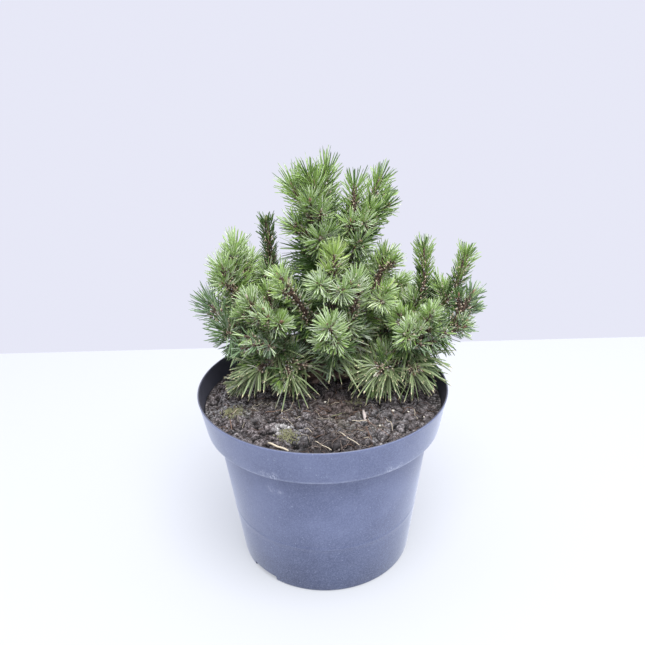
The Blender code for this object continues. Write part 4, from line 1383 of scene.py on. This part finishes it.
# Sweeps of long old needles, all to one side: limb, first and last share of it, bearings, leans from upright,
# pairs, length, tone and droop
SWEEPS = (
    ("trunk", 0.52, 0.98, (128, 236), (64, 100), 76, 0.036, "deep", 0.0),
    ("trunk", 0.80, 1.0, (140, 225), (46, 74), 34, 0.036, "deep", 0.0),
    ("trunk", 0.32, 0.52, (175, 350), (62, 108), 34, 0.028, "deep", 0.05),
    ("bough_front_left", 0.35, 1.0, (150, 400), (60, 125), 36, 0.021, "deep", 0.05),
    ("bough_left_low", 0.35, 0.80, (200, 340), (60, 110), 26, 0.024, "deep", 0.05),
    ("bough_right", 0.20, 0.46, (-32, 14), (76, 98), 26, 0.036, "olive", 0.05),
    ("bough_left_low", 0.74, 1.0, (-175, -25), (92, 150), 30, 0.036, "olive", 0.18),
    ("bough_front", 0.85, 1.0, (-95, -5), (100, 145), 6, 0.038, "olive", 0.22),
    ("bough_right_front", 0.66, 1.0, (-150, -15), (92, 145), 12, 0.036, "olive", 0.18),
    ("bough_right_front", 0.40, 1.0, (-150, 10), (85, 140), 30, 0.024, "deep", 0.10),
    ("bough_right_outer", 0.40, 1.0, (-110, 25), (80, 150), 34, 0.024, "deep", 0.10),
    ("bough_left_low", 0.55, 1.0, (170, 330), (40, 115), 26, 0.015, "dry", 0.05),
    ("bough_right_outer", 0.45, 1.0, (-150, 10), (50, 120), 24, 0.014, "dry", 0.05),
    ("bough_right_front", 0.55, 1.0, (-150, 10), (50, 120), 20, 0.014, "dry", 0.05),
    ("bough_left_outer", 0.70, 1.0, (150, 260), (95, 140), 18, 0.028, "cool", 0.10),
    ("bough_skirt_left", 0.40, 1.0, (-215, -50), (50, 118), 32, 0.034, "olive", 0.20),
    ("bough_skirt_right", 0.40, 1.0, (-140, 25), (50, 118), 34, 0.034, "olive", 0.20),
    ("bough_back_low", 0.60, 1.0, (20, 160), (85, 145), 36, 0.034, "olive", 0.18),
    ("bough_back_low_left", 0.60, 1.0, (95, 235), (85, 145), 36, 0.034, "olive", 0.18),
    ("bough_back_low_right", 0.60, 1.0, (-55, 85), (85, 145), 36, 0.034, "olive", 0.18),
)
# Old twigs with few needles: limb, where they leave it, and their ends
SNAGS = (
    ("bough_left_low", 0.70, (-0.0650, -0.0300, 0.2360)),
    ("bough_left_low", 0.85, (-0.0580, -0.0330, 0.2290)),
    ("bough_left_low", 0.95, (-0.0450, -0.0330, 0.2270)),
    ("bough_left_low", 0.80, (-0.0700, -0.0230, 0.2210)),
    ("bough_right_front", 0.80, (0.0860, -0.0290, 0.2230)),
    ("bough_right_front", 0.95, (0.0990, -0.0250, 0.2240)),
    ("bough_right_outer", 0.90, (0.1080, -0.0220, 0.2300)),
)
# Small late shoots: limb, where they leave it, their ends, and their needles' length and tone
TUFTS = (
    ("bough_skirt_left", 0.80, (-0.0385, -0.016, 0.183), 0.011, "mid"),
    ("bough_skirt_left", 0.95, (-0.0780, 0.000, 0.1745), 0.017, "olive"),
    ("bough_centre", 0.90, (0.0200, -0.022, 0.2720), 0.017, "bright"),
    ("bough_centre", 0.80, (-0.0010, -0.020, 0.2780), 0.016, "bright"),
    ("bough_skirt_right", 0.80, (0.0470, -0.0110, 0.1735), 0.014, "mid"),
    ("bough_right_tip", 0.70, (0.1080, 0.0500, 0.2400), 0.012, "deep"),
)
# Boughs with long old needles along them, and boughs whose short shoots are in the shade
LONG_NEEDLED = ("bough_front_right", "bough_right", "bough_left_low")
SHADED = ("bough_right", "bough_right_front", "bough_right_outer", "bough_left_outer", "bough_left_low")


def grow_side_shoots(shoot, count, needle, space, rng):
    """Finer shoots along a shoot, where they and the feet of their needles stay within the space."""
    length = shoot.length()
    turn = rng.uniform(0, 360)
    made = []
    for share in SIDE_SHARES[:count]:
        turn += GOLDEN_TURN
        spread, reach = rng.uniform(*SIDE_SPREAD), rng.uniform(*SIDE_LENGTH)
        root, _, direction = shoot.at(share)
        side = across(direction, turn)
        way = (direction + side * spread).normalized()
        tip = root + way * length * reach
        if length > SIDE_MIN_SHOOT and space.holds(root, tip + way * needle * 0.35, SIDE_RADIUS):
            middle = root.lerp(tip, 0.5) + side * length * 0.03
            made.append(Limb([root, middle, tip], SIDE_RADII))
    return made


def grow_spurs(limb, first, rng):
    """Short shoots along the outer part of a bough, which turn up."""
    count = int(limb.length() * (1 - first) / SPUR_STEP)
    turn = rng.uniform(0, 360)
    spurs = []
    for i in range(count):
        turn += GOLDEN_TURN
        place, radius, direction = limb.at(first + (1 - first) * (i + 0.5) / count)
        way = (direction * 0.7 + across(direction, turn) * 0.9 + Vector((0, 0, 0.6))).normalized()
        tip = place + way * (radius + rng.uniform(*SPUR_LENGTHS))
        spurs.append(Limb([place, place.lerp(tip, 0.5), tip], SPUR_RADII))
    return spurs


def grow_thin(limb, leaves, end, bow, foot_radius, tip_radius):
    """A thin shoot from a limb to an end, bowed upwards."""
    root, end = limb.at(leaves)[0], Vector(end)
    middle = root.lerp(end, 0.5) + Vector((0, 0, bow))
    return Limb(bent(root, middle, end, 5), tapered(foot_radius, tip_radius, 5))


def dress_mass(foliage, mass, grown, space, limb, seed):
    """The stem, shoots, twigs and side shoots of a mass, with their needles."""
    stem, *shoots = grown
    shape = random.Random(seed)
    twigs = [twig for shoot in shoots for twig in grow_twig(shoot, space, shape)]
    shape.seed(SIDE_SEEDS.get(mass.name, seed))
    foliage.rng.seed(seed + NEEDLE_SEED)
    changes = dict(STYLES.get(mass.name, {}))
    needle = mass.needle * changes.pop("size", COMMON_SIZE)
    style = Style(mass.tone, needle, bud=mass.buds)._replace(**changes)
    joint = Limb([limb.points[-1], *stem.points], [limb.radii[-1], *stem.radii])
    foliage.add_stem(joint, 1.05, 14)
    # The old needles round the joint, inside the mass, take the darker tone as painted shade where the mass's
    # shade is 0.4 or more
    inner = style.tone if style.shade < 0.4 else DARKER[style.tone]
    foliage.keep_old(joint, 0.0, 1.0, Style(inner, needle * 0.9, lean_foot=88, lean_tip=66), 0.0006)
    finer = {"length": needle * SIDE_NEEDLE, "crown": 8}
    for number, shoot in enumerate(shoots):
        if (mass.name, number) in SPARSE:
            foliage.dress(shoot, SPARSE[mass.name, number], SMALL_BUD)
            continue
        own = style._replace(**SHOOTS.get((mass.name, number), {}))
        foliage.dress(shoot, own)
        for side in grow_side_shoots(shoot, own.sides, needle, space, shape):
            tone = foliage.rng.choice((own.tone, own.tone, DARKER[own.tone], own.lighter()))
            foliage.dress(side, own._replace(tone=tone, **finer), SIDE_BUD)
    for twig in twigs:
        foliage.dress(twig, style._replace(**finer), TWIG_BUD)


def dress_bough(foliage, name, limb):
    """Old needles along a bough, and its spurs."""
    low = "low" in name or "skirt" in name
    old = Style("olive" if low else "deep", 0.026 if low else 0.019, lean_foot=84, lean_tip=70)
    foliage.keep_old(limb, 0.50, 1.0, old, 0.0016)
    foliage.keep_old(limb, 0.40, 1.0, old._replace(tone="dry"), 0.0060)
    if name in LONG_NEEDLED:
        long = Style("olive", 0.029, lean_foot=74, lean_tip=58, curl=0.05, droop=0.05, width=0.0018)
        foliage.keep_old(limb, 0.30, 0.95, long, 0.0016)
    for spur in grow_spurs(limb, 0.34, foliage.rng):
        tone = foliage.rng.choice(("mid", "deep", "cool", "bright"))
        tone = DARKER[tone] if name in SHADED else tone
        foliage.dress(spur, Style(tone, 0.0165, crown=7, bud="pale"), SMALL_BUD)


def build_foliage(limbs):
    """Everything that grows on the limbs: stems, shoots, twigs, spurs, needles, sheaths and buds."""
    foliage = Foliage()
    grown = {mass.name: grow_shoots(mass, limbs[mass.limb]) for mass in MASSES}
    wood = segments_of(*limbs.values())
    for number, mass in enumerate(MASSES):
        others = [limb for name, own in grown.items() if name != mass.name for limb in own]
        space = Space(segments_of(*grown[mass.name]), segments_of(*others), wood)
        foliage.masses[mass.tone].add(mass.name)
        dress_mass(foliage, mass, grown[mass.name], space, limbs[mass.limb], number)
    foliage.rng.seed(BOUGH_SEED)
    for name, _, _, _ in BOUGHS:
        dress_bough(foliage, name, limbs[name])
    for name, first, last, bearings, leans, pairs, length, tone, droop in SWEEPS:
        style = Style(tone, length, width=0.0015, curl=0.06, droop=droop)
        foliage.sweep(limbs[name], first, last, bearings, leans, pairs, style)
    few = Style("cool", 0.013, lean_foot=74, lean_tip=40, light="bright")
    for name, leaves, end in SNAGS:
        twig = grow_thin(limbs[name], leaves, end, 0.003, 0.0017, 0.0011)
        foliage.add_stem(twig, 0.9)
        foliage.keep_old(twig, 0.2, 1.0, few, 0.0014)
    for name, leaves, end, needle, tone in TUFTS:
        shoot = grow_thin(limbs[name], leaves, end, 0.004, 0.0020, 0.0015)
        fine = Style(tone, needle, bare=0.4, lean_foot=86, lean_tip=58, crown=12, stem=0.9)
        foliage.dress(shoot, fine, SMALL_BUD)
    return foliage


NEEDLES_IN_PIECE = 11875


def build_needles(foliage):
    """One piece for each tone, and the sheaths, stems and buds."""
    for tone, (colour, pale, end) in TONES.items():
        mats = [
            plain("needle_" + tone, colour, 0.36, 0.45), plain("needle_pale_" + tone, pale, 0.55, 0.30),
            plain("needle_end_" + tone, end, 0.4),
        ]
        rows = foliage.needles[tone]
        for part, start in enumerate(range(0, len(rows), NEEDLES_IN_PIECE)):
            pile = Pile()
            pile.add(*needle_arrays(rows[start : start + NEEDLES_IN_PIECE]))
            piece = pile.to_object(f"pine_{tone}_{part}", mats, smooth=False)
            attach(piece, "root")
            if part == 0 and foliage.masses[tone]:
                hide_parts(*sorted(foliage.masses[tone]))
    pile = Pile()
    pile.add(*sheath_arrays(foliage.sheaths))
    sheaths = pile.to_object("needle_sheaths", [plain("scale_" + name, SCALES[name], 0.7) for name in SCALES])
    stems = foliage.stems.to_object("young_stems", [twig_material()])
    buds = foliage.buds.to_object("buds", [plain("bud_" + name, BUDS[name], 0.45) for name in BUDS])
    for piece in (sheaths, stems, buds):
        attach(piece, "root")


# Stage

FOCAL = 700.0
PHOTO = 645
SENSOR = 36
ELEVATION = 23.65
ROLL = -1.51
TARGET = Vector((0.0015, 0, 0.2336))
DISTANCE = 0.625
FLOOR_SIZE = (5, 2.943, 1)
FLOOR_PLACE = (0, -1.0285, -0.0002)


def build_camera():
    e, roll = math.radians(ELEVATION), math.radians(ROLL)
    forward = Vector((0, math.cos(e), -math.sin(e)))
    up = Vector((0, math.sin(e), math.cos(e)))
    right = Vector((1, 0, 0))
    side = right * math.cos(roll) + up * math.sin(roll)
    top = up * math.cos(roll) - right * math.sin(roll)
    camera = placed("camera", bpy.data.cameras.new("camera"))
    camera.data.sensor_width = SENSOR
    camera.data.lens = FOCAL * SENSOR / PHOTO
    camera.data.clip_start = 0.01
    turn = Matrix((side, top, -forward)).transposed().to_4x4()
    camera.matrix_world = Matrix.Translation(TARGET - forward * DISTANCE) @ turn
    bpy.context.scene.camera = camera


def area_light(name, place, aim, size, power, colour):
    data = bpy.data.lights.new(name, "AREA")
    data.shape = "DISK"
    data.size = size
    data.energy = power
    data.color = colour
    lamp = placed(name, data)
    lamp.location = place
    lamp.rotation_euler = (Vector(aim) - Vector(place)).to_track_quat("-Z", "Y").to_euler()


def build_stage():
    """A plain pale floor, a pale surround and soft lights."""
    bpy.ops.mesh.primitive_plane_add(size=1)
    floor = bpy.context.object
    floor.name = "floor"
    floor.scale = FLOOR_SIZE
    floor.location = FLOOR_PLACE
    pale = plain("floor", (0.25, 0.255, 0.265), 0.8, 0.0)
    glow = {"Emission Color": (0.90, 0.94, 1.0, 1), "Emission Strength": 0.42}
    put(pale.node_tree.nodes["Principled BSDF"], glow)
    floor.data.materials.append(pale)
    world = bpy.data.worlds.new("surround")
    world.use_nodes = True
    n = Nodes(world, "Background", "Generated")
    way = n.add("SeparateXYZ", {0: n.place}).outputs
    rise = n.fade(way["Z"], 0.10, 0.60, 1.0, 2.3)
    front = n.fade(way["Y"], -0.9, 0.1, 0.65, 1.0)
    strength = n.add("Math", {0: rise, 1: front}, operation="MULTIPLY").outputs[0]
    put(n.shader, {"Color": (0.80, 0.81, 0.93, 1), "Strength": strength})
    bpy.context.scene.world = world
    area_light("key", (0.20, -0.65, 1.7), (0, 0, 0.2), 1.05, 39, (1.0, 1.0, 0.98))
    area_light("fill", (1.9, -0.70, 0.30), (0, 0, 0.12), 2.0, 10.3, (0.96, 0.98, 1.0))
    view = bpy.context.scene.view_settings
    view.view_transform = "Standard"
    view.look = "None"


def main():
    build_camera()
    build_stage()
    limbs = {"trunk": grow_trunk()}
    for name, parent, leaves, end in BOUGHS:
        limbs[name] = grow_bough(limbs[parent], leaves, end)
    build_pot()
    build_soil()
    build_litter()
    build_bark(limbs)
    build_needles(build_foliage(limbs))


main()
